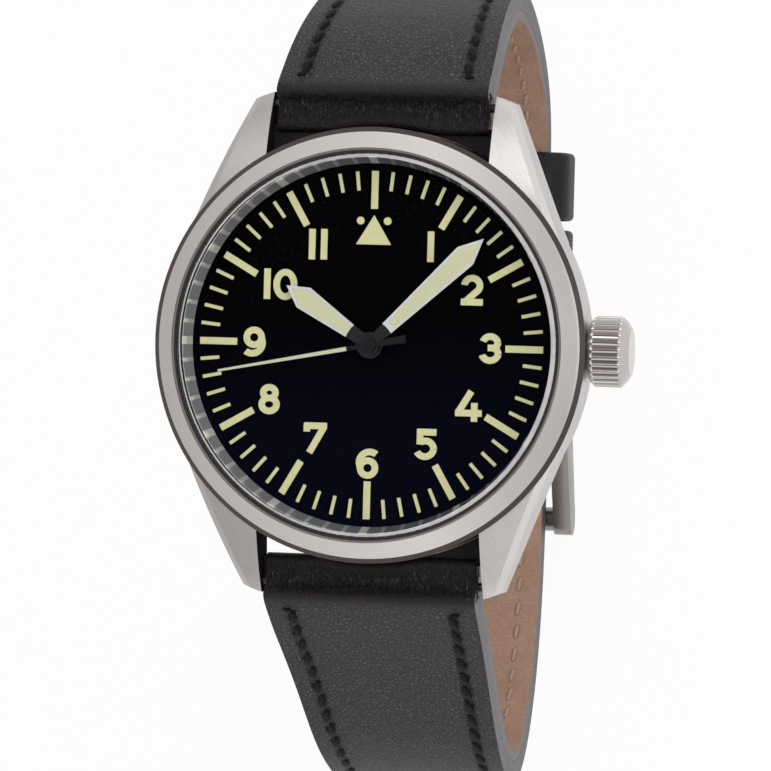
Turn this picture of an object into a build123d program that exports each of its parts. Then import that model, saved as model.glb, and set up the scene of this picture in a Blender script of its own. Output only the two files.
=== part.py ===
from build123d import *
import math
import os

# A pilot watch on a two-piece leather strap, buckled. Millimetres.
# The dial faces +Z, twelve o'clock is +Y and the crown is on +X.
# The origin is the centre of the case back's outer face.

# Shared clearances and cuts
running_fit = 0.03
press_gap = 0.01
leather_gap = 0.4
overrun = 1.0

# Case
case_radius = 19.5
case_floor = 1.1
case_top = 7.0
case_edge_break = 0.4
dial_bore_radius = 17.0
movement_bore_radius = 15.05
back_thread_radius = 15.65
back_thread_top = 2.6
dial_seat = 5.9
strap_roll_radius = 2.1
strap_roll_reach = case_radius + leather_gap + strap_roll_radius
spring_bar_lead = 0.4
spring_bar_reach = strap_roll_reach - spring_bar_lead
lug_gap = 20.4
lug_nose = 1.1
lug_tip_reach = spring_bar_reach + lug_nose
lug_nose_slant = 0.65
lug_tip_outer_reach = lug_tip_reach - lug_nose_slant
lug_tip_outer_width = 11.9
lug_base_reach = 9.55
lug_base_width = 17.0
lug_tip_top = 2.25
lug_tip_floor = -0.4
lug_floor_reach = 12.5
lug_bevel = 0.55

# Bezel, crystal and their seals
bezel_radius = 19.6
bezel_groove_radius = 19.25
bezel_groove_top = 7.12
bezel_edge_top = 7.32
bezel_slope_outer_radius = 19.0
bezel_slope_foot = 7.85
bezel_slope_inner_radius = 17.7
bezel_crest = 9.2
bezel_lip_top = 7.9
crystal_radius = 17.3
crystal_bevel = 0.45
crystal_floor = 8.3
crystal_top = 9.5
gasket_crest = 9.1
flange_inner_radius = 16.35
flange_crest_radius = 16.85
flange_radius = 16.95
flange_top = 8.2

# Case back
back_radius = 17.0
back_flange_thickness = 1.1
back_thread_crest = 2.4
back_recess_radius = 14.4
back_recess_floor = 0.9
back_bevel = 0.4
back_notch_width = 2.6
back_notch_depth = 1.1
back_notch_height = 0.6
back_notches = 6
back_gasket_radius = 16.6
back_gasket_inner_radius = 15.9
back_gasket_height = 0.3

# Dial and its marks
dial_radius = 16.9
dial_thickness = 0.4
dial_hole_radius = 0.95
lume_thickness = 0.06
minute_mark_inner = 13.94
minute_mark_outer = 15.66
minute_mark_width = 0.31
hour_mark_inner = 12.25
hour_mark_width = 0.63
triangle_width = 3.2
triangle_height = 2.65
triangle_centre = 9.92
dot_radius = 0.35
dot_spacing = 2.46
dot_height = 11.17
numeral_ring = 10.5
numeral_half_width = 0.7
numeral_half_height = 1.075
numeral_stroke = 0.6

# Hands
hand_thickness = 0.15
hand_rim = 0.2
hour_hand_height = 6.9
hour_hand_length = 9.3
hour_hand_shoulder = 7.4
hour_hand_window_start = 2.2
hour_hand_root_width = 1.3
hour_hand_shoulder_width = 2.15
hour_hub_radius = 1.2
minute_hand_height = 7.35
minute_hand_length = 14.15
minute_hand_shoulder = 11.9
minute_hand_window_start = 2.67
minute_hand_root_width = 1.2
minute_hand_shoulder_width = 2.1
minute_hub_radius = 0.95
seconds_hand_height = 7.8
seconds_hand_length = 13.9
seconds_hand_root_width = 0.4
seconds_hand_tip_width = 0.2
seconds_tail_length = 3.5
seconds_tail_width = 0.75
seconds_boss_radius = 0.63
seconds_boss_height = 0.25

# Movement plates
movement_radius = 12.8
plate_back = 4.3
plate_dial_face = 5.9
plate_pocket_floor = 4.7
motion_pocket_floor = 5.15
motion_pocket_radius = 2.3
bridge_floor = 2.4
bridge_top = 3.2
bridge_radius = 12.3
bridge_split = 0.4
wheel_recess_floor = 2.8
cock_top = 3.0
cock_foot_reach = 11.4
cock_foot_radius = 1.3
cock_arm_width = 2.2
cock_head_radius = 1.6
pillar_radius = 0.9
bridge_pillar_reach = 11.2
train_pillar_reach = 9.8
jewel_radius = 0.6
jewel_height = 0.4
pivot_radius = 0.1
arbor_radius = 0.14
screw_head_radius = 0.55
screw_head_height = 0.35
screw_slot_width = 0.18
screw_radius = 0.3
screw_end = 4.9
second_wheel_radius = 3.3
wheel_pocket_gap = 0.2
third_pocket_radius = 0.8
setting_post_radius = 0.25
minute_post_radius = 0.2
crown_wheel_hub = 0.6
stud_width = 0.3
ring_stem_hole = 0.8
ring_radius = 15.0
ring_inner_radius = 12.85
ring_floor = 2.45
clamp_width = 1.6
clamp_thickness = 0.3
clamp_inner_reach = 11.4
clamp_outer_reach = 13.9

# Going train
wheel_thickness = 0.15
pinion_height = 0.3
barrel_distance = 7.6
barrel_drum_radius = 4.5
barrel_mesh = 5.4
second_mesh = 3.75
third_mesh = 3.75
escape_mesh = 2.78
barrel_floor = 3.3
barrel_top = 4.2
barrel_wall = 0.25
barrel_arbor_radius = 1.0
barrel_journal_radius = 0.45
second_wheel_level = 4.45
third_wheel_level = 3.38
fourth_wheel_level = 3.68
barrel_tooth_floor = 3.85
escape_wheel_radius = 2.1
escape_wheel_level = 3.97
escape_tooth_depth = 0.45
escape_rim_width = 0.25
fourth_pipe_radius = 0.12
centre_tube_radius = 0.33
centre_tube_bore = 0.18
centre_tube_top = 7.25

# Escapement and balance
lever_length = 2.9
pallet_level = 3.97
pallet_thickness = 0.14
pallet_arm_width = 0.35
pallet_stone_width = 0.18
pallet_stone_length = 0.5
pallet_tip_gap = 0.05
fork_slot_width = 0.34
fork_tip_width = 0.95
balance_radius = 4.4
balance_rim_width = 0.45
balance_rim_height = 0.3
balance_floor = 3.4
balance_arm_width = 0.5
roller_radius = 0.75
roller_height = 0.12
impulse_pin_radius = 0.08
impulse_pin_orbit = 0.55
hairspring_floor = 3.12
hairspring_height = 0.1
hairspring_strip = 0.06
hairspring_inner_radius = 0.5
hairspring_outer_radius = 2.5
mainspring_strip = 0.12
mainspring_inner_radius = 1.15

# Motion work under the dial
cannon_tube_radius = 0.5
cannon_top = 7.5
minute_wheel_distance = 2.6
minute_wheel_level = 5.28
minute_pinion_top = 5.8
hour_wheel_level = 5.62
hour_tube_radius = 0.75
hour_tube_top = 7.05

# Winding and setting
stem_height = 4.0
stem_radius = 0.55
stem_inner_end = 5.4
stem_pilot_length = 0.6
stem_pilot_radius = 0.3
stem_square_end = 9.3
stem_outer_end = 22.2
stem_pocket_start = 6.7
stem_square = 0.7
pinion_outer_radius = 1.15
sliding_pinion_start = 7.7
winding_pinion_start = 9.35
stem_pinion_length = 1.0
stem_pinion_gap = 0.15
stem_groove_start = 10.65
stem_groove_width = 0.7
stem_groove_radius = 0.3
setting_lever_arm = 2.6
setting_lever_width = 0.9
setting_lever_thickness = 0.3
setting_lever_floor = 4.65
setting_pin_radius = 0.2
crown_wheel_reach = 5.9
winding_wheel_floor = 2.45
winding_wheel_thickness = 0.3

# Crown
crown_radius = 3.2
crown_start = 19.62
crown_end = 23.35
crown_bevel = 0.55
crown_dome = 0.3
crown_flute_depth = 0.22
crown_flute_radius = 0.26
crown_flutes = 30
crown_land_start = 20.15
crown_land_end = 22.45
crown_tube_radius = 1.4
crown_tube_start = 15.1
crown_tube_end = 20.6
crown_well_depth = 2.2
crown_well_radius = 1.75
crown_face_radius = 2.1
crown_gasket_thickness = 0.35
crown_gasket_width = 0.8

# Rotor
rotor_radius = 12.5
rotor_floor = 1.3
rotor_web_top = 1.6
rotor_rim_top = 1.95
rotor_rim_inner = 10.6
rotor_hub_radius = 1.9
rotor_window_reach = 6.2
rotor_window_length = 6.2
rotor_window_width = 3.0
rotor_window_angles = (225, 270, 315)
rotor_bearing_radius = 1.15
rotor_bearing_top = 2.4

# Strap, keepers and buckle
strap_lug_gap = 0.2
strap_width = lug_gap - 2 * strap_lug_gap
strap_thickness_lug = 3.5
strap_thickness_end = 2.2
lining_thickness = 1.0
strap_roll_height = 2.3
spring_bar_height = 1.8
spring_tube_radius = 0.9
spring_tube_wall = 0.25
spring_tube_half_length = 9.7
spring_tube_gap = 0.12
spring_pin_radius = 0.4
spring_pin_collar = 0.58
spring_pin_end = 11.0
spring_pin_collar_end = 9.5
spring_pin_root = 8.2
spring_pin_hole_end = 11.15
top_strap_reach = 12.2
bottom_strap_reach = 20.0
top_strap_level = -44.5
tail_level = -47.4
tail_end = 17.5
keeper_length = 6.6
keeper_wall = 1.6
keeper_corner = 2.4
keeper_side_gap = 0.5
fixed_keeper_start = 4.6
free_keeper_start = 12.1
buckle_pivot_reach = -5.0
buckle_front_reach = -17.0
buckle_half_width = 10.6
buckle_side_thickness = 1.7
buckle_bar_radius = 0.75
buckle_bar_half_length = 10.0
buckle_roll_radius = 1.5
buckle_front_radius = 1.15
buckle_corner_radius = 1.5
buckle_side_radius = 1.9
tongue_width = 1.7
tongue_thickness = 1.0
tongue_eye_radius = 1.3
tongue_tip_length = 1.6
tongue_knee = (1.6, 3.2)
tongue_bend = (2.8, 4.9)
tongue_rest_gap = 0.05
tongue_slot_width = 2.3
tongue_hole_length = 4.2
tongue_hole_reach = -6.8
strap_hole_pitch = 7.0
strap_hole_radius = 0.9

os.makedirs("parts", exist_ok=True)


def keep(piece, name):
    """Label a finished piece and write it out under its name."""
    piece.part.label = name
    export_step(piece.part, "parts/" + name + ".step")


def polar(distance, angle):
    """A point at a distance from the centre, its angle counted from three o'clock."""
    return (distance * math.cos(math.radians(angle)), distance * math.sin(math.radians(angle)))


def disc(radius, low, high, centre=(0, 0), mode=Mode.ADD):
    """A round flat solid between two heights."""
    with BuildSketch(Plane.XY.offset(low)) as face:
        with Locations(centre):
            Circle(radius)
    extrude(face.sketch, amount=high - low, mode=mode)


def slab(points, low, high, mode=Mode.ADD):
    """A flat solid with straight sides between two heights."""
    with BuildSketch(Plane.XY.offset(low)) as face:
        with BuildLine():
            Polyline(*points, close=True)
        make_face()
    extrude(face.sketch, amount=high - low, mode=mode)


def bar(start, end, width, low, high, mode=Mode.ADD):
    """A straight flat bar between two points seen from above."""
    length = math.dist(start, end)
    turn = math.degrees(math.atan2(end[1] - start[1], end[0] - start[0]))
    middle = ((start[0] + end[0]) / 2, (start[1] + end[1]) / 2)
    with BuildSketch(Plane.XY.offset(low)) as face:
        with Locations(Location(middle, turn)):
            Rectangle(length, width)
    extrude(face.sketch, amount=high - low, mode=mode)


def rod(radius, start, end, reach, height, mode=Mode.ADD):
    """A round rod along X at a place in Y and Z."""
    with BuildSketch(Plane.YZ.offset(start)) as face:
        with Locations((reach, height)):
            Circle(radius)
    extrude(face.sketch, amount=end - start, mode=mode)


def turned(points, axis=Axis.Z, mode=Mode.ADD):
    """A lathe-turned solid from half of its section, drawn in X and Z."""
    with BuildSketch(Plane.XZ) as face:
        with BuildLine():
            Polyline(*points, close=True)
        make_face()
    revolve(face.sketch, axis=axis, mode=mode)


# Lug, one of four, before it is mirrored
with BuildPart() as lug:
    with BuildSketch(Plane.XY.offset(lug_tip_floor - overrun)):
        with BuildLine():
            Polyline(
                (lug_gap / 2, lug_base_reach),
                (lug_base_width, lug_base_reach),
                (lug_tip_outer_width, lug_tip_outer_reach),
                (lug_gap / 2, lug_tip_reach),
                close=True,
            )
        make_face()
    extrude(amount=case_top - lug_tip_floor + 2 * overrun)
    with BuildSketch(Plane.YZ):
        with BuildLine():
            Line((lug_base_reach - overrun, case_top), (lug_base_reach, case_top))
            TangentArc((lug_base_reach, case_top), (lug_tip_reach, lug_tip_top), tangent=(1, 0))
            Polyline(
                (lug_tip_reach, lug_tip_top),
                (lug_tip_reach, lug_tip_floor),
                (lug_floor_reach, case_floor),
                (lug_base_reach - overrun, case_floor),
                (lug_base_reach - overrun, case_top),
            )
        make_face()
    extrude(amount=lug_base_width + overrun, both=True, mode=Mode.INTERSECT)
    outer_crest = lug.edges().filter_by(GeomType.LINE, reverse=True).sort_by(Axis.X)[-1]
    chamfer(outer_crest, length=lug_bevel)

# Mid-case with its four lugs
with BuildPart() as mid_case:
    disc(case_radius, case_floor, case_top)
    chamfer(mid_case.edges().group_by(Axis.Z)[0], length=case_edge_break)
    add(lug.part)
    add(mirror(lug.part, about=Plane.YZ, mode=Mode.PRIVATE))
    add(mirror(lug.part, about=Plane.XZ, mode=Mode.PRIVATE))
    add(lug.part.rotate(Axis.Z, 180))
    disc(dial_bore_radius, dial_seat, case_top + overrun, mode=Mode.SUBTRACT)
    disc(movement_bore_radius, case_floor - overrun, case_top, mode=Mode.SUBTRACT)
    disc(back_thread_radius, case_floor - overrun, back_thread_top, mode=Mode.SUBTRACT)
    disc(back_radius + running_fit, lug_tip_floor - overrun, case_floor, mode=Mode.SUBTRACT)
    turned(
        [
            (back_gasket_inner_radius - press_gap, case_floor - press_gap),
            (back_gasket_radius + press_gap, case_floor - press_gap),
            (back_gasket_radius + press_gap, case_floor + back_gasket_height + press_gap),
            (back_gasket_inner_radius - press_gap, case_floor + back_gasket_height + press_gap),
        ],
        mode=Mode.SUBTRACT,
    )
    rod(crown_tube_radius + press_gap, dial_seat, case_radius + overrun, 0, stem_height, Mode.SUBTRACT)
    for reach in (spring_bar_reach, -spring_bar_reach):
        rod(
            spring_pin_radius + running_fit,
            -spring_pin_hole_end,
            spring_pin_hole_end,
            reach,
            spring_bar_height,
            Mode.SUBTRACT,
        )
keep(mid_case, "mid_case")

# Bezel, a sloped ring seated on the mid-case
with BuildPart() as bezel:
    turned(
        [
            (dial_bore_radius, case_top),
            (bezel_groove_radius, case_top),
            (bezel_groove_radius, bezel_groove_top),
            (bezel_radius, bezel_groove_top),
            (bezel_radius, bezel_edge_top),
            (bezel_slope_outer_radius, bezel_slope_foot),
            (bezel_slope_inner_radius, bezel_crest),
            (bezel_slope_inner_radius, bezel_lip_top),
            (dial_bore_radius, bezel_lip_top),
        ]
    )
keep(bezel, "bezel")

# Crystal, flat with a bevelled edge
with BuildPart() as crystal:
    turned(
        [
            (0, crystal_floor),
            (crystal_radius, crystal_floor),
            (crystal_radius, crystal_top - crystal_bevel),
            (crystal_radius - crystal_bevel, crystal_top),
            (0, crystal_top),
        ]
    )
keep(crystal, "crystal")

# Crystal gasket, L-shaped, between the crystal and the bezel
with BuildPart() as crystal_gasket:
    turned(
        [
            (dial_bore_radius, bezel_lip_top),
            (bezel_slope_inner_radius - press_gap, bezel_lip_top),
            (bezel_slope_inner_radius - press_gap, gasket_crest),
            (crystal_radius + press_gap, gasket_crest),
            (crystal_radius + press_gap, crystal_floor),
            (dial_bore_radius, crystal_floor),
        ]
    )
keep(crystal_gasket, "crystal_gasket")

# Dial, and the ring that holds it down
dial_top = dial_seat + dial_thickness
with BuildPart() as flange_ring:
    turned(
        [
            (flange_inner_radius, dial_top),
            (flange_radius, dial_top),
            (flange_radius, flange_top),
            (flange_crest_radius, flange_top),
        ]
    )
keep(flange_ring, "flange_ring")

with BuildPart() as dial:
    disc(dial_radius, dial_seat, dial_top)
    disc(dial_hole_radius, dial_seat - overrun, dial_top + overrun, mode=Mode.SUBTRACT)
keep(dial, "dial")

# Luminous marks: sixty minutes, a triangle at twelve and its two dots
mark_length = minute_mark_outer - minute_mark_inner
hour_mark_length = minute_mark_outer - hour_mark_inner
with BuildPart() as minute_marks:
    with BuildSketch(Plane.XY.offset(dial_top)):
        for mark in range(60):
            if mark % 5:
                with PolarLocations((minute_mark_outer + minute_mark_inner) / 2, 1, start_angle=6 * mark):
                    Rectangle(mark_length, minute_mark_width)
            else:
                with PolarLocations((minute_mark_outer + hour_mark_inner) / 2, 1, start_angle=6 * mark):
                    Rectangle(hour_mark_length, hour_mark_width)
        with BuildLine():
            Polyline(
                (-triangle_width / 2, triangle_centre - triangle_height / 3),
                (triangle_width / 2, triangle_centre - triangle_height / 3),
                (0, triangle_centre + triangle_height * 2 / 3),
                close=True,
            )
        make_face()
        with Locations((-dot_spacing / 2, dot_height), (dot_spacing / 2, dot_height)):
            Circle(dot_radius)
    extrude(amount=lume_thickness)
keep(minute_marks, "minute_marks")

# Numerals, each drawn as strokes in shares of half a numeral's width and height
stroke_share = {
    "1": [("line", (0, 1.28), (0, -1.28))],
    "2": [
        ("arc", (-1, 0.42), (0, 1), (1, 0.42)),
        ("arc", (1, 0.42), (0.93, 0.15), (0.6, -0.12)),
        ("line", (0.66, -0.07), (-0.88, -1.0)),
        ("line", (-1.43, -1.0), (1.43, -1.0)),
    ],
    "3": [
        ("arc", (-1, 0.58), (0.05, 1), (0.92, 0.5)),
        ("arc", (0.92, 0.5), (0.68, 0.16), (0.1, 0.05)),
        ("line", (-0.38, 0.05), (0.2, 0.05)),
        ("arc", (0.1, 0.05), (0.75, -0.1), (1, -0.47)),
        ("arc", (1, -0.47), (0, -1), (-1.1, -0.55)),
    ],
    "4": [
        ("line", (0.33, 1.26), (-1.3, -0.5)),
        ("line", (-1.72, -0.57), (1.74, -0.57)),
        ("line", (0.76, 0.29), (0.76, -1.28)),
    ],
    "5": [
        ("line", (-1.23, 1.02), (1.29, 1.02)),
        ("line", (-0.82, 1.25), (-0.82, -0.02)),
        ("arc", (-0.8, 0.12), (0.42, 0.2), (0.98, -0.4)),
        ("arc", (0.98, -0.4), (0, -1.02), (-1.17, -0.64)),
    ],
    "6": [
        ("ring", (0, -0.38), (0.97, 0.62)),
        ("arc", (1.08, 0.78), (-0.35, 0.88), (-0.98, -0.3)),
    ],
    "7": [
        ("line", (-1.47, 1.0), (1.46, 1.0)),
        ("line", (-1.16, 1.2), (-1.16, 0.5)),
        ("line", (1.12, 0.97), (-0.78, -1.26)),
    ],
    "8": [
        ("ring", (0, 0.54), (0.8, 0.455)),
        ("ring", (0, -0.44), (0.97, 0.55)),
    ],
    "0": [("ring", (0, 0), (1.14, 1.02))],
}
stroke_share["9"] = [
    ("ring", (0, 0.38), (0.97, 0.62)),
    ("arc", (-1.08, -0.78), (0.35, -0.88), (0.98, 0.3)),
]
numeral_place_share = [
    ("1", 0.497, 0.855),
    ("2", 0.865, 0.494),
    ("3", 1.039, 0),
    ("4", 0.861, -0.498),
    ("5", 0.504, -0.834),
    ("6", 0, -1.013),
    ("7", -0.46, -0.807),
    ("8", -0.873, -0.488),
    ("9", -1.019, 0),
    ("1", -0.917, 0.502),
    ("0", -0.759, 0.5),
    ("1", -0.534, 0.851),
    ("1", -0.43, 0.853),
]


def numeral_point(centre, share):
    """A stroke's point on the dial."""
    return (centre[0] + share[0] * numeral_half_width, centre[1] + share[1] * numeral_half_height)


def numeral_face(strokes, centre):
    """One numeral's face, drawn about its centre."""
    with BuildSketch(Plane.XY.offset(dial_top)) as face:
        for stroke in strokes:
            if stroke[0] == "ring":
                continue
            points = [numeral_point(centre, share) for share in stroke[1:]]
            with BuildLine():
                if stroke[0] == "arc":
                    ThreePointArc(*points)
                else:
                    Line(*points)
            trace(line_width=numeral_stroke)
        rings = [stroke for stroke in strokes if stroke[0] == "ring"]
        for side, mode in ((1, Mode.ADD), (-1, Mode.SUBTRACT)):
            for stroke in rings:
                with Locations(numeral_point(centre, stroke[1])):
                    Ellipse(
                        stroke[2][0] * numeral_half_width + side * numeral_stroke / 2,
                        stroke[2][1] * numeral_half_height + side * numeral_stroke / 2,
                        mode=mode,
                    )
    return face.sketch


with BuildPart() as hour_numerals:
    for digit, across, up in numeral_place_share:
        extrude(
            numeral_face(stroke_share[digit], (across * numeral_ring, up * numeral_ring)),
            amount=lume_thickness,
        )
keep(hour_numerals, "hour_numerals")

# Case back, screwed in, hollow on its inner side
with BuildPart() as case_back:
    disc(back_radius, 0, back_flange_thickness)
    chamfer(case_back.edges().group_by(Axis.Z)[0], length=back_bevel)
    disc(back_thread_radius - running_fit, back_flange_thickness, back_thread_crest)
    disc(back_recess_radius, back_recess_floor, back_thread_crest + overrun, mode=Mode.SUBTRACT)
    for notch in range(back_notches):
        bar(
            polar(back_radius - back_notch_depth, 360 / back_notches * (notch + 1 / 2)),
            polar(back_radius + overrun, 360 / back_notches * (notch + 1 / 2)),
            back_notch_width,
            -overrun,
            back_notch_height,
            Mode.SUBTRACT,
        )
keep(case_back, "case_back")

with BuildPart() as case_back_gasket:
    disc(back_gasket_radius, case_floor, case_floor + back_gasket_height)
    disc(back_gasket_inner_radius, case_floor - overrun, case_floor + overrun, mode=Mode.SUBTRACT)
keep(case_back_gasket, "case_back_gasket")

# Crown tube, pressed into the mid-case
with BuildPart() as crown_tube:
    rod(crown_tube_radius, crown_tube_start, crown_tube_end, 0, stem_height)
    rod(
        stem_radius + running_fit,
        crown_tube_start - overrun,
        crown_tube_end + overrun,
        0,
        stem_height,
        Mode.SUBTRACT,
    )
keep(crown_tube, "crown_tube")

# Gears
# A tooth in shares: how far from the pitch circle in modules, how far round in tooth pitches
gear_tooth_share = [(-0.85, -0.24), (0.6, -0.1), (0.6, 0.1), (-0.85, 0.24)]
escape_tooth_share = [(-1.0, -0.42), (0, -0.06), (0, 0.06), (-1.0, -0.02)]


def pitch_radius(distance, teeth, other_teeth):
    """A gear's share of the distance to the gear that it meets."""
    return distance * teeth / (teeth + other_teeth)


def gear_points(radius, teeth, first, centre):
    """A gear's outline, its first tooth pointing at a given angle."""
    module = 2 * radius / teeth
    points = []
    for tooth in range(teeth):
        for out_share, round_share in gear_tooth_share:
            angle = first + 360 / teeth * (tooth + round_share)
            across, up = polar(radius + out_share * module, angle)
            points.append((centre[0] + across, centre[1] + up))
    return points


def toothed(radius, teeth, first, low, high, centre=(0, 0)):
    """A toothed disc."""
    slab(gear_points(radius, teeth, first, centre), low, high)


def shifted(start, distance, angle):
    """The point at a distance and an angle from another point."""
    across, up = polar(distance, angle)
    return (start[0] + across, start[1] + up)


def heading(start, end):
    """The angle of the line from one point to another."""
    return math.degrees(math.atan2(end[1] - start[1], end[0] - start[0]))


def meeting_point(first, first_distance, second, second_distance):
    """The point at given distances from two others, left of the line between them."""
    span = math.dist(first, second)
    along = (first_distance**2 - second_distance**2 + span**2) / (2 * span)
    aside = math.sqrt(first_distance**2 - along**2)
    foot = shifted(first, along, heading(first, second))
    return shifted(foot, aside, heading(first, second) + 90)


def strip(inner, outer, turns, width, low, high, centre):
    """A flat spiral spring, one unbroken strip."""
    steps = 16 * turns
    edges = ([], [])
    for step in range(steps + 1):
        radius = inner + (outer - inner) * step / steps
        for edge, side in zip(edges, (-1, 1)):
            edge.append(shifted(centre, radius + side * width / 2, 360 / 16 * step))
    slab(edges[0] + edges[1][::-1], low, high)
    print("least gap in a spring", round((outer - inner) / turns - width, 3))


# Places of the arbors, seen from the dial
centre = (0, 0)
barrel_place = polar(barrel_distance, 75)
second_place = shifted(barrel_place, barrel_mesh, -140)
third_place = meeting_point(centre, third_mesh, second_place, second_mesh)
escape_place = polar(escape_mesh, 250)
escape_heading = 265
pallet_distance = escape_wheel_radius / math.cos(math.radians(22.5))
pallet_place = shifted(escape_place, pallet_distance, escape_heading)
balance_place = shifted(pallet_place, lever_length, escape_heading)
minute_place = polar(minute_wheel_distance, 20)
crown_wheel_place = (crown_wheel_reach, 0)
winding_mesh = math.dist(crown_wheel_place, barrel_place)
lever_place = (stem_groove_start + stem_groove_width / 2, -setting_lever_arm)
cock_foot = polar(cock_foot_reach, 294)

# Tooth counts
barrel_teeth = 73
second_pinion_teeth = 10
second_wheel_teeth = 72
third_pinion_teeth = 10
third_wheel_teeth = 75
fourth_pinion_teeth = 10
fourth_wheel_teeth = 72
escape_pinion_teeth = 8
escape_teeth = 20
cannon_teeth = 10
minute_wheel_teeth = 30
minute_pinion_teeth = 8
hour_wheel_teeth = 32
crown_wheel_teeth = 30
ratchet_teeth = 34
stem_pinion_teeth = 9


def arbor(place, low, high):
    """A wheel's arbor with a finer pivot at each end."""
    disc(arbor_radius, low, high, place)
    disc(pivot_radius, low - jewel_height + running_fit, high + jewel_height - running_fit, place)


def spokes(place, outer, low, high):
    """Openings that leave a wheel with five spokes."""
    for hole in range(5):
        disc(outer * 0.22, low - overrun / 10, high + overrun / 10,
             shifted(place, outer * 0.55, 72 * hole), Mode.SUBTRACT)


# Barrel with its teeth, holding the mainspring
with BuildPart() as barrel:
    disc(barrel_drum_radius, barrel_floor, barrel_top, barrel_place)
    toothed(
        pitch_radius(barrel_mesh, barrel_teeth, second_pinion_teeth),
        barrel_teeth,
        heading(barrel_place, second_place),
        barrel_tooth_floor,
        barrel_tooth_floor + pinion_height,
        barrel_place,
    )
    disc(
        barrel_drum_radius - barrel_wall,
        barrel_floor + barrel_wall,
        barrel_top - barrel_wall,
        barrel_place,
        Mode.SUBTRACT,
    )
    disc(
        barrel_journal_radius + running_fit,
        barrel_floor - overrun,
        barrel_top + overrun,
        barrel_place,
        Mode.SUBTRACT,
    )
keep(barrel, "barrel")

with BuildPart() as mainspring:
    strip(
        mainspring_inner_radius,
        barrel_drum_radius - barrel_wall - mainspring_strip,
        8,
        mainspring_strip,
        barrel_floor + barrel_wall + running_fit,
        barrel_top - barrel_wall - running_fit,
        barrel_place,
    )
keep(mainspring, "mainspring")

with BuildPart() as barrel_arbor:
    disc(barrel_journal_radius, winding_wheel_floor, plate_pocket_floor, barrel_place)
    disc(
        barrel_arbor_radius,
        barrel_floor + barrel_wall + running_fit,
        barrel_top - barrel_wall - running_fit,
        barrel_place,
    )
keep(barrel_arbor, "barrel_arbor")

# Second wheel, driven by the barrel
with BuildPart() as second_wheel:
    second_radius = pitch_radius(second_mesh, second_wheel_teeth, third_pinion_teeth)
    toothed(
        second_radius,
        second_wheel_teeth,
        heading(second_place, third_place),
        second_wheel_level,
        second_wheel_level + wheel_thickness,
        second_place,
    )
    spokes(second_place, second_radius, second_wheel_level, second_wheel_level + wheel_thickness)
    toothed(
        pitch_radius(barrel_mesh, second_pinion_teeth, barrel_teeth),
        second_pinion_teeth,
        heading(second_place, barrel_place) + 180 / second_pinion_teeth,
        barrel_tooth_floor,
        barrel_tooth_floor + pinion_height,
        second_place,
    )
    arbor(second_place, bridge_top + running_fit, plate_pocket_floor - running_fit)
keep(second_wheel, "second_wheel")

# Third wheel
with BuildPart() as third_wheel:
    third_radius = pitch_radius(third_mesh, third_wheel_teeth, fourth_pinion_teeth)
    toothed(
        third_radius,
        third_wheel_teeth,
        heading(third_place, centre),
        third_wheel_level,
        third_wheel_level + wheel_thickness,
        third_place,
    )
    spokes(third_place, third_radius, third_wheel_level, third_wheel_level + wheel_thickness)
    toothed(
        pitch_radius(second_mesh, third_pinion_teeth, second_wheel_teeth),
        third_pinion_teeth,
        heading(third_place, second_place) + 180 / third_pinion_teeth,
        second_wheel_level - running_fit,
        second_wheel_level + wheel_thickness + running_fit,
        third_place,
    )
    arbor(third_place, bridge_top + running_fit, plate_pocket_floor - running_fit)
keep(third_wheel, "third_wheel")

# Fourth wheel at the centre, whose long pipe carries the seconds hand
with BuildPart() as fourth_wheel:
    fourth_radius = pitch_radius(escape_mesh, fourth_wheel_teeth, escape_pinion_teeth)
    toothed(
        fourth_radius,
        fourth_wheel_teeth,
        heading(centre, escape_place),
        fourth_wheel_level,
        fourth_wheel_level + wheel_thickness,
    )
    spokes(centre, fourth_radius, fourth_wheel_level, fourth_wheel_level + wheel_thickness)
    toothed(
        pitch_radius(third_mesh, fourth_pinion_teeth, third_wheel_teeth),
        fourth_pinion_teeth,
        heading(centre, third_place) + 180 / fourth_pinion_teeth,
        third_wheel_level - running_fit,
        fourth_wheel_level,
    )
    disc(fourth_pipe_radius, bridge_top, seconds_hand_height + hand_thickness)
    disc(pivot_radius, bridge_top - jewel_height + running_fit, bridge_top)
keep(fourth_wheel, "fourth_wheel")

# Escape wheel
with BuildPart() as escape_wheel:
    points = []
    for tooth in range(escape_teeth):
        for out_share, round_share in escape_tooth_share:
            angle = escape_heading + 360 / escape_teeth * (tooth + round_share)
            radius = escape_wheel_radius + out_share * escape_tooth_depth
            points.append(shifted(escape_place, radius, angle))
    slab(points, escape_wheel_level, escape_wheel_level + pallet_thickness)
    spokes(
        escape_place,
        escape_wheel_radius - escape_rim_width,
        escape_wheel_level,
        escape_wheel_level + pallet_thickness,
    )
    toothed(
        pitch_radius(escape_mesh, escape_pinion_teeth, fourth_wheel_teeth),
        escape_pinion_teeth,
        heading(escape_place, centre) + 180 / escape_pinion_teeth,
        fourth_wheel_level - running_fit,
        escape_wheel_level,
        escape_place,
    )
    arbor(escape_place, bridge_top + running_fit, plate_back - running_fit)
keep(escape_wheel, "escape_wheel")

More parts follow.
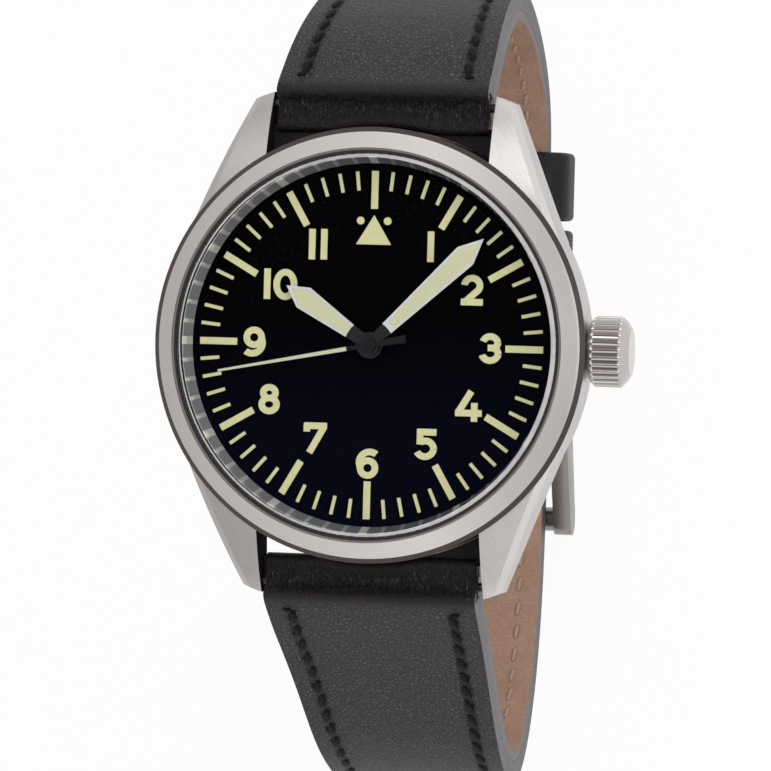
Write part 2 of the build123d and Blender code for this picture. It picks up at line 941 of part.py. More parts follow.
# Pallet fork with its two stones
pallet_top = pallet_level + pallet_thickness
fork_reach = lever_length - impulse_pin_orbit
with BuildPart() as pallet_fork:
    for side in (-22.5, 22.5):
        stone_tip = shifted(
            escape_place, escape_wheel_radius + pallet_tip_gap, escape_heading + side
        )
        stone_end = shifted(
            escape_place,
            escape_wheel_radius + pallet_tip_gap + pallet_stone_length,
            escape_heading + side,
        )
        bar(stone_tip, stone_end, pallet_stone_width, pallet_level, pallet_top)
        bar(stone_end, pallet_place, pallet_arm_width, pallet_level, pallet_top)
    disc(pallet_arm_width, pallet_level, pallet_top, pallet_place)
    fork_end = shifted(pallet_place, fork_reach + impulse_pin_radius * 2, escape_heading)
    fork_start = shifted(pallet_place, fork_reach - fork_tip_width / 2, escape_heading)
    slot_start = shifted(pallet_place, fork_reach - impulse_pin_radius * 3, escape_heading)
    slot_end = shifted(fork_end, overrun / 2, escape_heading)
    bar(pallet_place, fork_start, pallet_arm_width, pallet_level, pallet_top)
    bar(fork_start, fork_end, fork_tip_width, pallet_level, pallet_top)
    bar(slot_start, slot_end, fork_slot_width, pallet_level, pallet_top, Mode.SUBTRACT)
    disc(arbor_radius, pallet_level, plate_back - running_fit, pallet_place)
    disc(pivot_radius, pallet_level, plate_back + jewel_height - running_fit, pallet_place)
keep(pallet_fork, "pallet_fork")

# Balance wheel with its staff, roller and impulse pin, drawn part way through a swing
balance_top = balance_floor + balance_rim_height
with BuildPart() as balance_wheel:
    disc(balance_radius, balance_floor, balance_top, balance_place)
    disc(
        balance_radius - balance_rim_width,
        balance_floor - overrun / 2,
        balance_top + overrun / 2,
        balance_place,
        Mode.SUBTRACT,
    )
    for arm in range(3):
        bar(
            balance_place,
            shifted(balance_place, balance_radius - balance_rim_width / 2, 120 * arm + 30),
            balance_arm_width,
            balance_floor,
            balance_floor + wheel_thickness,
        )
    arbor(balance_place, cock_top + running_fit, plate_back - running_fit)
    disc(roller_radius, balance_top, balance_top + roller_height, balance_place)
    disc(
        impulse_pin_radius,
        balance_top,
        pallet_top,
        shifted(balance_place, impulse_pin_orbit, escape_heading + 180 + 120),
    )
keep(balance_wheel, "balance_wheel")

with BuildPart() as hairspring:
    strip(
        hairspring_inner_radius,
        hairspring_outer_radius,
        9,
        hairspring_strip,
        hairspring_floor,
        hairspring_floor + hairspring_height,
        balance_place,
    )
keep(hairspring, "hairspring")

# Movement plates
bridge_pillars = [polar(bridge_pillar_reach, angle) for angle in (108, 38, 14)]
train_pillars = [polar(train_pillar_reach, angle) for angle in (205, 152)]


def jewel_holes(places, low, high):
    """Seats for the jewels at the given places."""
    for place in places:
        disc(jewel_radius + press_gap, low, high, place, Mode.SUBTRACT)


def screw_holes(places, low, high):
    """Clearance holes for the bridge screws."""
    for place in places:
        disc(screw_radius + press_gap, low, high, place, Mode.SUBTRACT)


with BuildPart() as main_plate:
    disc(movement_radius, plate_back, plate_dial_face)
    disc(
        second_wheel_radius + wheel_pocket_gap,
        plate_back - overrun,
        plate_pocket_floor,
        second_place,
        Mode.SUBTRACT,
    )
    disc(third_pocket_radius, plate_back - overrun, plate_pocket_floor, third_place, Mode.SUBTRACT)
    for place in (centre, minute_place):
        disc(motion_pocket_radius, motion_pocket_floor, plate_dial_face + overrun, place, Mode.SUBTRACT)
    bar(
        (stem_inner_end - overrun / 4, 0),
        (movement_radius + overrun, 0),
        2 * (stem_radius + stem_pinion_gap),
        plate_back - overrun,
        setting_lever_floor,
        Mode.SUBTRACT,
    )
    bar(
        (stem_pocket_start, 0),
        (winding_pinion_start + stem_pinion_length + running_fit, 0),
        2 * (pinion_outer_radius + stem_pinion_gap),
        plate_back - overrun,
        stem_height + pinion_outer_radius + stem_pinion_gap,
        Mode.SUBTRACT,
    )
    disc(
        setting_lever_arm + setting_lever_width,
        plate_back - overrun,
        setting_lever_floor + setting_lever_thickness + running_fit,
        lever_place,
        Mode.SUBTRACT,
    )
    disc(
        setting_post_radius,
        setting_lever_floor,
        setting_lever_floor + setting_lever_thickness + overrun / 2,
        lever_place,
    )
    disc(
        barrel_journal_radius + running_fit,
        plate_back - overrun,
        plate_pocket_floor + running_fit,
        barrel_place,
        Mode.SUBTRACT,
    )
    jewel_holes(
        (escape_place, pallet_place, balance_place),
        plate_back - overrun,
        plate_back + jewel_height,
    )
    jewel_holes((second_place, third_place), plate_back, plate_pocket_floor + jewel_height)
    screw_holes(bridge_pillars + train_pillars + [cock_foot], plate_back - overrun, screw_end)
    disc(centre_tube_radius, motion_pocket_floor, centre_tube_top)
    disc(centre_tube_bore, plate_back - overrun, centre_tube_top + overrun, mode=Mode.SUBTRACT)
    disc(minute_post_radius, motion_pocket_floor, minute_pinion_top, minute_place)
keep(main_plate, "main_plate")

# The two bridges share one outline between them, in shares of their radius
barrel_bridge_share = [
    (-0.46, 1.05),
    (1.05, 1.05),
    (1.05, -0.35),
    (0.45, -0.35),
    (0.3, 0.2),
    (-0.2, 0.72),
]
train_bridge_share = [
    (-1.1, 0.8),
    (-0.52, 1.0),
    (-0.25, 0.66),
    (0.13, 0.2),
    (0.14, -0.3),
    (-0.1, -0.4),
    (-0.6, -0.55),
    (-1.1, -0.55),
]
ratchet_radius = pitch_radius(winding_mesh, ratchet_teeth, crown_wheel_teeth)
winding_radius = pitch_radius(winding_mesh, crown_wheel_teeth, ratchet_teeth)
with BuildPart() as barrel_bridge:
    with BuildSketch(Plane.XY.offset(bridge_floor)):
        with BuildLine():
            Polyline(
                *[(across * bridge_radius, up * bridge_radius) for across, up in barrel_bridge_share],
                close=True,
            )
        make_face()
        with Locations(barrel_place):
            Circle(ratchet_radius + wheel_pocket_gap * 2)
        with Locations(crown_wheel_place):
            Circle(winding_radius + wheel_pocket_gap * 2)
        Circle(bridge_radius, mode=Mode.INTERSECT)
    extrude(amount=bridge_top - bridge_floor)
    for place in bridge_pillars:
        disc(pillar_radius, bridge_top, plate_back, place)
    for radius, place in ((ratchet_radius, barrel_place), (winding_radius, crown_wheel_place)):
        disc(
            radius + wheel_pocket_gap,
            bridge_floor - overrun,
            wheel_recess_floor,
            place,
            Mode.SUBTRACT,
        )
    disc(crown_wheel_hub, bridge_floor, wheel_recess_floor, crown_wheel_place)
    bar(
        (stem_pocket_start, 0),
        (winding_pinion_start + stem_pinion_length + stem_pinion_gap, 0),
        2 * (pinion_outer_radius + stem_pinion_gap),
        bridge_floor - overrun,
        plate_back,
        Mode.SUBTRACT,
    )
    disc(
        barrel_journal_radius + running_fit,
        bridge_floor,
        bridge_top + overrun,
        barrel_place,
        Mode.SUBTRACT,
    )
    screw_holes(bridge_pillars, bridge_floor - overrun, plate_back + overrun)
keep(barrel_bridge, "barrel_bridge")

with BuildPart() as train_bridge:
    with BuildSketch(Plane.XY.offset(bridge_floor)):
        with BuildLine():
            Polyline(
                *[(across * bridge_radius, up * bridge_radius) for across, up in train_bridge_share],
                close=True,
            )
        make_face()
        Circle(bridge_radius, mode=Mode.INTERSECT)
        with Locations(barrel_place):
            Circle(ratchet_radius + wheel_pocket_gap * 2 + bridge_split, mode=Mode.SUBTRACT)
        with Locations(crown_wheel_place):
            Circle(winding_radius + wheel_pocket_gap * 2 + bridge_split, mode=Mode.SUBTRACT)
        with Locations(balance_place):
            Circle(balance_radius - bridge_split, mode=Mode.SUBTRACT)
    extrude(amount=bridge_top - bridge_floor)
    for place in train_pillars:
        disc(pillar_radius, bridge_top, plate_back, place)
    jewel_holes(
        (centre, second_place, third_place, escape_place),
        bridge_floor + running_fit,
        bridge_top + overrun,
    )
    screw_holes(train_pillars, bridge_floor - overrun, plate_back + overrun)
keep(train_bridge, "train_bridge")

# Balance cock, with the stud that holds the hairspring's outer end
with BuildPart() as balance_cock:
    disc(cock_head_radius, bridge_floor, cock_top, balance_place)
    bar(balance_place, cock_foot, cock_arm_width, bridge_floor, cock_top)
    disc(cock_foot_radius, bridge_floor, plate_back, cock_foot)
    bar(
        balance_place,
        shifted(balance_place, hairspring_outer_radius + stud_width, 0),
        stud_width * 2,
        bridge_floor,
        cock_top,
    )
    disc(
        stud_width / 2,
        bridge_floor,
        hairspring_floor + hairspring_height,
        shifted(balance_place, hairspring_outer_radius + (hairspring_strip + stud_width) / 2, 0),
    )
    jewel_holes((balance_place,), bridge_floor + overrun / 10, cock_top + overrun)
    screw_holes((cock_foot,), bridge_floor - overrun, plate_back + overrun)
keep(balance_cock, "balance_cock")

# Jewels, pressed into the plate, the train bridge and the cock
jewel_seats = [
    (escape_place, plate_back),
    (pallet_place, plate_back),
    (balance_place, plate_back),
    (second_place, plate_pocket_floor),
    (third_place, plate_pocket_floor),
    (centre, bridge_top - jewel_height),
    (second_place, bridge_top - jewel_height),
    (third_place, bridge_top - jewel_height),
    (escape_place, bridge_top - jewel_height),
    (balance_place, cock_top - jewel_height),
]
with BuildPart() as jewels:
    for place, level in jewel_seats:
        disc(jewel_radius, level, level + jewel_height, place)
        disc(pivot_radius + running_fit, level - overrun, level + overrun, place, Mode.SUBTRACT)
keep(jewels, "jewels")

with BuildPart() as bridge_screws:
    for place in bridge_pillars + train_pillars + [cock_foot]:
        disc(screw_head_radius, bridge_floor - screw_head_height, bridge_floor, place)
        disc(screw_radius, bridge_floor, screw_end, place)
        bar(
            shifted(place, screw_head_radius + overrun, 20),
            shifted(place, screw_head_radius + overrun, 200),
            screw_slot_width,
            bridge_floor - screw_head_height - overrun,
            bridge_floor - screw_head_height / 2,
            Mode.SUBTRACT,
        )
keep(bridge_screws, "bridge_screws")

# Movement ring around the plate, and the two clamps that hold the movement to it
clamp_angles = (150, 330)
with BuildPart() as movement_ring:
    disc(ring_radius, ring_floor, plate_dial_face)
    disc(ring_inner_radius, ring_floor - overrun, plate_dial_face + overrun, mode=Mode.SUBTRACT)
    rod(ring_stem_hole, ring_inner_radius - overrun, ring_radius + overrun, 0, stem_height, Mode.SUBTRACT)
    for angle in clamp_angles:
        bar(
            polar(clamp_inner_reach, angle),
            polar(clamp_outer_reach + running_fit, angle),
            clamp_width + 2 * running_fit,
            ring_floor - overrun,
            plate_back,
            Mode.SUBTRACT,
        )
keep(movement_ring, "movement_ring")

with BuildPart() as movement_clamps:
    for angle in clamp_angles:
        bar(
            polar(clamp_inner_reach, angle),
            polar(clamp_outer_reach, angle),
            clamp_width,
            plate_back - clamp_thickness,
            plate_back,
        )
        disc(
            screw_head_radius,
            plate_back - clamp_thickness - screw_head_height,
            plate_back - clamp_thickness,
            polar(clamp_inner_reach + screw_head_radius, angle),
        )
keep(movement_clamps, "movement_clamps")

# Motion work: cannon pinion, minute wheel and hour wheel
cannon_radius = pitch_radius(minute_wheel_distance, cannon_teeth, minute_wheel_teeth)
with BuildPart() as cannon_pinion:
    toothed(
        cannon_radius,
        cannon_teeth,
        heading(centre, minute_place) + 180 / cannon_teeth,
        minute_wheel_level - running_fit,
        minute_wheel_level + wheel_thickness + running_fit,
    )
    disc(cannon_tube_radius, minute_wheel_level - running_fit, cannon_top)
    disc(centre_tube_radius + running_fit, motion_pocket_floor, cannon_top + overrun, mode=Mode.SUBTRACT)
keep(cannon_pinion, "cannon_pinion")

with BuildPart() as minute_wheel:
    toothed(
        pitch_radius(minute_wheel_distance, minute_wheel_teeth, cannon_teeth),
        minute_wheel_teeth,
        heading(minute_place, centre),
        minute_wheel_level,
        minute_wheel_level + wheel_thickness,
        minute_place,
    )
    toothed(
        pitch_radius(minute_wheel_distance, minute_pinion_teeth, hour_wheel_teeth),
        minute_pinion_teeth,
        heading(minute_place, centre) + 180 / minute_pinion_teeth,
        minute_wheel_level + wheel_thickness,
        minute_pinion_top,
        minute_place,
    )
    disc(
        minute_post_radius + running_fit,
        motion_pocket_floor,
        plate_dial_face,
        minute_place,
        Mode.SUBTRACT,
    )
keep(minute_wheel, "minute_wheel")

with BuildPart() as hour_wheel:
    toothed(
        pitch_radius(minute_wheel_distance, hour_wheel_teeth, minute_pinion_teeth),
        hour_wheel_teeth,
        heading(centre, minute_place),
        hour_wheel_level,
        hour_wheel_level + wheel_thickness,
    )
    disc(hour_tube_radius, hour_wheel_level, hour_tube_top)
    disc(
        cannon_tube_radius + running_fit,
        hour_wheel_level - overrun,
        hour_tube_top + overrun,
        mode=Mode.SUBTRACT,
    )
keep(hour_wheel, "hour_wheel")


# Winding and setting work, on the stem's axis
stem_axis = Axis((0, 0, stem_height), (1, 0, 0))
stem_pinion_radius = pinion_outer_radius / (1 + 2 * gear_tooth_share[1][0] / stem_pinion_teeth)


def stem_pinion(start, bore):
    """A pinion on the stem with a round bore."""
    with BuildSketch(Plane.YZ.offset(start)) as face:
        with BuildLine():
            Polyline(
                *gear_points(stem_pinion_radius, stem_pinion_teeth, 0, (0, stem_height)),
                close=True,
            )
        make_face()
    extrude(face.sketch, amount=stem_pinion_length)
    rod(bore, start - overrun, start + stem_pinion_length + overrun, 0, stem_height, Mode.SUBTRACT)


with BuildPart() as winding_pinion:
    stem_pinion(winding_pinion_start, stem_radius + running_fit)
keep(winding_pinion, "winding_pinion")

with BuildPart() as sliding_pinion:
    stem_pinion(sliding_pinion_start, stem_square * math.sqrt(1 / 2) + running_fit)
keep(sliding_pinion, "sliding_pinion")

with BuildPart() as winding_stem:
    rod(stem_radius, stem_square_end, stem_outer_end, 0, stem_height)
    rod(stem_pilot_radius, stem_inner_end, stem_square_end, 0, stem_height)
    bar(
        (stem_inner_end + stem_pilot_length, 0),
        (stem_square_end, 0),
        stem_square,
        stem_height - stem_square / 2,
        stem_height + stem_square / 2,
    )
    turned(
        [
            (stem_groove_start, stem_height + stem_groove_radius),
            (stem_groove_start + stem_groove_width, stem_height + stem_groove_radius),
            (stem_groove_start + stem_groove_width, stem_height + stem_radius + overrun),
            (stem_groove_start, stem_height + stem_radius + overrun),
        ],
        axis=stem_axis,
        mode=Mode.SUBTRACT,
    )
keep(winding_stem, "winding_stem")

with BuildPart() as setting_lever:
    lever_pin_place = (lever_place[0], 0)
    lever_top = setting_lever_floor + setting_lever_thickness
    bar(lever_place, lever_pin_place, setting_lever_width, setting_lever_floor, lever_top)
    for place in (lever_place, lever_pin_place):
        disc(setting_lever_width / 2, setting_lever_floor, lever_top, place)
    disc(
        setting_post_radius + running_fit,
        setting_lever_floor - overrun,
        lever_top + overrun,
        lever_place,
        Mode.SUBTRACT,
    )
    disc(
        setting_pin_radius,
        stem_height + stem_groove_radius + running_fit,
        setting_lever_floor,
        lever_pin_place,
    )
keep(setting_lever, "setting_lever")

with BuildPart() as crown_wheel:
    toothed(
        winding_radius,
        crown_wheel_teeth,
        heading(crown_wheel_place, barrel_place),
        winding_wheel_floor,
        winding_wheel_floor + winding_wheel_thickness,
        crown_wheel_place,
    )
    disc(
        crown_wheel_hub + running_fit,
        bridge_floor - overrun,
        bridge_top,
        crown_wheel_place,
        Mode.SUBTRACT,
    )
keep(crown_wheel, "crown_wheel")

with BuildPart() as ratchet_wheel:
    toothed(
        ratchet_radius,
        ratchet_teeth,
        heading(barrel_place, crown_wheel_place) + 180 / ratchet_teeth,
        winding_wheel_floor,
        winding_wheel_floor + winding_wheel_thickness,
        barrel_place,
    )
    disc(
        barrel_journal_radius + press_gap,
        bridge_floor - overrun,
        bridge_top,
        barrel_place,
        Mode.SUBTRACT,
    )
keep(ratchet_wheel, "ratchet_wheel")

# Crown with its well, flutes and domed face, and the gasket inside it
with BuildPart() as crown:
    turned(
        [
            (stem_outer_end + press_gap, stem_height),
            (crown_end, stem_height),
            (crown_end, stem_height + crown_face_radius),
            (crown_end - crown_dome, stem_height + crown_radius - crown_bevel),
            (crown_land_end, stem_height + crown_radius),
            (crown_land_start, stem_height + crown_radius),
            (crown_start, stem_height + crown_radius - crown_bevel),
            (crown_start, stem_height + crown_well_radius),
            (crown_start + crown_well_depth, stem_height + crown_well_radius),
            (crown_start + crown_well_depth, stem_height + stem_radius + press_gap),
            (stem_outer_end + press_gap, stem_height + stem_radius + press_gap),
        ],
        axis=stem_axis,
    )
    with BuildSketch(Plane.YZ.offset(crown_land_start - crown_flute_depth)):
        with Locations((0, stem_height)):
            with PolarLocations(crown_radius + crown_flute_radius - crown_flute_depth, crown_flutes):
                Circle(crown_flute_radius)
    extrude(amount=crown_land_end - crown_land_start + 2 * crown_flute_depth, mode=Mode.SUBTRACT)
keep(crown, "crown")

with BuildPart() as crown_gasket:
    crown_gasket_start = crown_start + crown_gasket_thickness
    rod(
        crown_well_radius - press_gap,
        crown_gasket_start,
        crown_gasket_start + crown_gasket_width,
        0,
        stem_height,
    )
    rod(
        crown_tube_radius + running_fit,
        crown_start - overrun,
        crown_end,
        0,
        stem_height,
        Mode.SUBTRACT,
    )
keep(crown_gasket, "crown_gasket")

# Hands, each drawn upright and turned to the time shown, seven minutes past ten
hour_hand_angle = 303.8
minute_hand_angle = 46.1
seconds_hand_angle = 259.0


def on_dial(points, angle):
    """Points drawn across and along a hand, turned clockwise from twelve."""
    sine = math.sin(math.radians(angle))
    cosine = math.cos(math.radians(angle))
    return [
        (along * sine + across * cosine, along * cosine - across * sine) for across, along in points
    ]


def mirrored_outline(points):
    """An outline from its right half, given from the centre outwards."""
    return points + [(-across, along) for across, along in reversed(points) if across]


def sword(root, shoulder, window_start, shoulder_place, length, inset):
    """The outline of a hand's blade, or of its lume when inset."""
    return mirrored_outline(
        [
            (root / 2 - inset, window_start + inset / 3),
            (shoulder / 2 - inset, shoulder_place - inset / 4),
            (0, length - 2.3 * inset),
        ]
    )


def hand(hub, bore, root, shoulder, window_start, shoulder_place, length, level, angle):
    """A sword hand with a window for its lume."""
    blade = sword(root, shoulder, window_start, shoulder_place, length, 0)
    stub = mirrored_outline([(hub / 2, 0), (root / 2, window_start)])
    slab(on_dial(blade, angle), level, level + hand_thickness)
    slab(on_dial(stub, angle), level, level + hand_thickness)
    disc(hub, level - hand_rim / 2, level + hand_thickness + hand_rim / 4)
    window = sword(root, shoulder, window_start, shoulder_place, length, hand_rim)
    slab(on_dial(window, angle), level - overrun, level + overrun, Mode.SUBTRACT)
    disc(bore, level - overrun, level + overrun, mode=Mode.SUBTRACT)


def hand_lume(root, shoulder, window_start, shoulder_place, length, level, angle):
    """The lume that fills a hand's window."""
    fill = sword(root, shoulder, window_start, shoulder_place, length, hand_rim + press_gap)
    slab(on_dial(fill, angle), level + press_gap, level + hand_thickness - press_gap)


hour_sizes = (
    hour_hand_root_width,
    hour_hand_shoulder_width,
    hour_hand_window_start,
    hour_hand_shoulder,
    hour_hand_length,
    hour_hand_height,
    hour_hand_angle,
)
minute_sizes = (
    minute_hand_root_width,
    minute_hand_shoulder_width,
    minute_hand_window_start,
    minute_hand_shoulder,
    minute_hand_length,
    minute_hand_height,
    minute_hand_angle,
)
with BuildPart() as hour_hand:
    hand(hour_hub_radius, hour_tube_radius + press_gap, *hour_sizes)
keep(hour_hand, "hour_hand")
with BuildPart() as hour_hand_lume:
    hand_lume(*hour_sizes)
keep(hour_hand_lume, "hour_hand_lume")
with BuildPart() as minute_hand:
    hand(minute_hub_radius, cannon_tube_radius + press_gap, *minute_sizes)
keep(minute_hand, "minute_hand")
with BuildPart() as minute_hand_lume:
    hand_lume(*minute_sizes)
keep(minute_hand_lume, "minute_hand_lume")

with BuildPart() as seconds_hand:
    root_place = (seconds_hand_root_width / 2, 0)
    needle = mirrored_outline([root_place, (seconds_hand_tip_width / 2, seconds_hand_length)])
    tail = mirrored_outline([root_place, (seconds_tail_width / 2, -seconds_tail_length)])
    for outline in (needle, tail):
        slab(
            on_dial(outline, seconds_hand_angle),
            seconds_hand_height,
            seconds_hand_height + hand_thickness,
        )
    disc(
        seconds_boss_radius,
        seconds_hand_height - hand_rim / 2,
        seconds_hand_height + seconds_boss_height,
    )
    disc(
        fourth_pipe_radius + press_gap,
        seconds_hand_height - overrun,
        seconds_hand_height + hand_thickness + press_gap,
        mode=Mode.SUBTRACT,
    )
keep(seconds_hand, "seconds_hand")

# Automatic rotor, a half disc with a heavy rim, on its ball bearing
with BuildPart() as rotor:
    for inner, top in ((0, rotor_web_top), (rotor_rim_inner, rotor_rim_top)):
        with BuildSketch(Plane.XY.offset(rotor_floor)):
            Circle(rotor_radius)
            if inner:
                Circle(inner, mode=Mode.SUBTRACT)
            with BuildLine():
                Polyline(
                    (-rotor_radius, 0),
                    (-rotor_radius, -rotor_radius),
                    (rotor_radius, -rotor_radius),
                    (rotor_radius, 0),
                    close=True,
                )
            make_face(mode=Mode.INTERSECT)
        extrude(amount=top - rotor_floor)
    with BuildSketch(Plane.XY.offset(rotor_floor - overrun)):
        for angle in rotor_window_angles:
            with Locations(Location(polar(rotor_window_reach, angle), angle)):
                Ellipse(rotor_window_length / 2, rotor_window_width / 2)
    extrude(amount=rotor_rim_top, mode=Mode.SUBTRACT)
    disc(rotor_hub_radius, rotor_floor, rotor_rim_top)
    disc(
        rotor_bearing_radius + running_fit,
        rotor_floor - overrun,
        bridge_floor,
        mode=Mode.SUBTRACT,
    )
keep(rotor, "rotor")

with BuildPart() as rotor_bearing:
    disc(rotor_bearing_radius, rotor_floor, rotor_bearing_top)
    bar(
        (-rotor_bearing_radius, 0),
        (rotor_bearing_radius, 0),
        screw_slot_width,
        rotor_floor - overrun,
        rotor_floor + screw_head_height / 2,
        Mode.SUBTRACT,
    )
keep(rotor_bearing, "rotor_bearing")

# Spring bars, a tube through each strap end with a sprung pin at either side
with BuildPart() as spring_bar_tubes:
    for reach in (-spring_bar_reach, spring_bar_reach):
        rod(
            spring_tube_radius,
            -spring_tube_half_length,
            spring_tube_half_length,
            reach,
            spring_bar_height,
        )
        rod(
            spring_tube_radius - spring_tube_wall,
            -spring_pin_collar_end - press_gap,
            spring_pin_collar_end + press_gap,
            reach,
            spring_bar_height,
            Mode.SUBTRACT,
        )
        rod(
            spring_pin_radius + running_fit,
            -spring_pin_end,
            spring_pin_end,
            reach,
            spring_bar_height,
            Mode.SUBTRACT,
        )
    rod(
        buckle_bar_radius,
        -buckle_bar_half_length,
        buckle_bar_half_length,
        buckle_pivot_reach,
        top_strap_level + strap_thickness_end / 2,
    )
keep(spring_bar_tubes, "spring_bar_tubes")


def spring_pin(side, reach, name):
    """One sprung end pin, its collar held inside the tube."""
    with BuildPart() as pin:
        ends = sorted((side * spring_pin_root, side * spring_pin_collar_end))
        rod(spring_pin_collar, *ends, reach, spring_bar_height)
        ends = sorted((side * spring_pin_root, side * spring_pin_end))
        rod(spring_pin_radius, *ends, reach, spring_bar_height)
    keep(pin, name)


spring_pin(-1, spring_bar_reach, "top_pin_left")
spring_pin(1, spring_bar_reach, "top_pin_right")
spring_pin(-1, -spring_bar_reach, "bottom_pin_left")
spring_pin(1, -spring_bar_reach, "bottom_pin_right")

# Strap halves. Each follows a side curve given in shares of its reach and its drop
strap_top = strap_roll_height + strap_roll_radius
top_curve_share = [
    (0.132, 0.015),
    (0.221, 0.048),
    (0.541, 0.163),
    (0.787, 0.302),
    (1.0, 0.479),
    (0.918, 0.648),
    (0.66, 0.815),
    (0.332, 0.939),
    (-0.037, 1.0),
    (-0.529, 1.0),
]
bottom_curve_share = [
    (0.081, 0.015),
    (0.222, 0.102),
    (0.455, 0.252),
    (0.765, 0.42),
    (0.925, 0.551),
    (1.0, 0.669),
    (0.92, 0.799),
    (0.625, 0.913),
    (0.275, 0.973),
    (-0.1, 1.0),
    (-0.5, 1.0),
]
taper_share = [(-0.1, 0.97), (0.0, 0.97), (0.1, 0.955), (0.3, 0.9), (0.55, 0.845), (1.0, 0.81), (1.3, 0.81)]
curve_steps = 4


def strap_curve(side, share, reach, level):
    """Places and inward directions along a strap's outer side, from lug to flat."""
    controls = [
        (side * (strap_roll_reach + out * reach), strap_top + down * (level - strap_top))
        for out, down in share
    ]
    before = [2 * near - far for near, far in zip(controls[0], controls[1])]
    after = [2 * near - far for near, far in zip(controls[-1], controls[-2])]
    controls = [before, *controls, after]
    samples = []
    spans = len(share) - 1
    for step in range(spans * curve_steps + 1):
        span = min(step // curve_steps, spans - 1)
        way = step / curve_steps - span
        weights = [
            (1 - way) ** 3 / 6,
            (3 * way**3 - 6 * way**2 + 4) / 6,
            (-3 * way**3 + 3 * way**2 + 3 * way + 1) / 6,
            way**3 / 6,
        ]
        slopes = [
            -((1 - way) ** 2) / 2,
            (3 * way**2 - 4 * way) / 2,
            (-3 * way**2 + 2 * way + 1) / 2,
            way**2 / 2,
        ]
        near = controls[span : span + 4]
        place = [sum(w * c[axis] for w, c in zip(weights, near)) for axis in range(2)]
        along = [sum(w * c[axis] for w, c in zip(slopes, near)) for axis in range(2)]
        pace = math.hypot(*along)
        inward = (side * along[1] / pace, -side * along[0] / pace)
        samples.append((place, inward, step / (spans * curve_steps)))
    return samples


def strap_line(samples, depth_share):
    """A curve inside a strap at a share of its thickness."""
    points = []
    for place, inward, way in samples:
        thickness = strap_thickness_lug + (strap_thickness_end - strap_thickness_lug) * way
        depth = depth_share(thickness)
        points.append((place[0] + inward[0] * depth, place[1] + inward[1] * depth))
    return points


def strap_band(samples, end, upper, lower):
    """A band between two curves inside a strap."""
    outer = strap_line(samples, upper)
    inner = strap_line(samples, lower)
    with BuildSketch(Plane.YZ) as face:
        with BuildLine():
            Spline(*outer)
            Polyline(outer[-1], (end, outer[-1][1]), (end, inner[-1][1]), inner[-1])
            Spline(*reversed(inner))
            Line(inner[0], outer[0])
        make_face()
    extrude(face.sketch, amount=strap_width, both=True)


def strap_taper(level):
    """Trim a strap to its width, which grows narrower down from the lugs."""
    half_width = strap_width / 2
    points = [
        (half_width * share, strap_top + down * (level - strap_top)) for down, share in taper_share
    ]
    with BuildSketch(Plane.XZ) as face:
        with BuildLine():
            Polyline(*points, *[(-across, height) for across, height in reversed(points)], close=True)
        make_face()
    extrude(face.sketch, amount=2 * strap_outer_reach, both=True, mode=Mode.INTERSECT)


def outer_depth(_):
    """The outer face of a strap."""
    return 0


def leather_depth(thickness):
    """The inner face of the top leather."""
    return thickness - lining_thickness


def lining_depth(thickness):
    """The outer face of the lining."""
    return thickness - lining_thickness + running_fit


def full_depth(thickness):
    """The inner face of a strap."""
    return thickness


def roll(radius, reach, height, mode):
    """A full-width round at a strap's folded end."""
    rod(radius, -strap_width / 2, strap_width / 2, reach, height, mode)


def tongue_slot(start, end, low, high):
    """An opening for the tongue, round at both ends."""
    half_width = tongue_slot_width / 2
    bar((0, start + half_width), (0, end - half_width), tongue_slot_width, low, high, Mode.SUBTRACT)
    for reach in (start + half_width, end - half_width):
        disc(half_width, low, high, (0, reach), Mode.SUBTRACT)


pivot_height = top_strap_level + strap_thickness_end / 2
strap_outer_reach = strap_roll_reach + bottom_strap_reach
keeper_inner_top = top_strap_level + strap_thickness_end
tail_inner_level = tail_level + strap_thickness_end
top_samples = strap_curve(1, top_curve_share, top_strap_reach, top_strap_level)
bottom_samples = strap_curve(-1, bottom_curve_share, bottom_strap_reach, tail_level)
roll_slot_end = buckle_pivot_reach + 2 * buckle_roll_radius

with BuildPart() as strap_top_leather:
    strap_band(top_samples, buckle_pivot_reach, outer_depth, leather_depth)
    roll(strap_roll_radius, strap_roll_reach, strap_roll_height, Mode.ADD)
    roll(buckle_roll_radius, buckle_pivot_reach, pivot_height, Mode.ADD)
    strap_taper(top_strap_level)
    roll(spring_tube_radius + spring_tube_gap, spring_bar_reach, spring_bar_height, Mode.SUBTRACT)
    roll(buckle_bar_radius + spring_tube_gap, buckle_pivot_reach, pivot_height, Mode.SUBTRACT)
    tongue_slot(
        buckle_pivot_reach - 2 * buckle_roll_radius,
        roll_slot_end,
        top_strap_level - overrun,
        keeper_inner_top + overrun,
    )
keep(strap_top_leather, "strap_top_leather")

with BuildPart() as strap_top_lining:
    strap_band(top_samples, buckle_pivot_reach, lining_depth, full_depth)
    strap_taper(top_strap_level)
    roll(strap_roll_radius + press_gap, strap_roll_reach, strap_roll_height, Mode.SUBTRACT)
    roll(buckle_roll_radius + press_gap, buckle_pivot_reach, pivot_height, Mode.SUBTRACT)
    tongue_slot(
        buckle_pivot_reach - 2 * buckle_roll_radius,
        roll_slot_end,
        top_strap_level,
        keeper_inner_top + overrun,
    )
keep(strap_top_lining, "strap_top_lining")


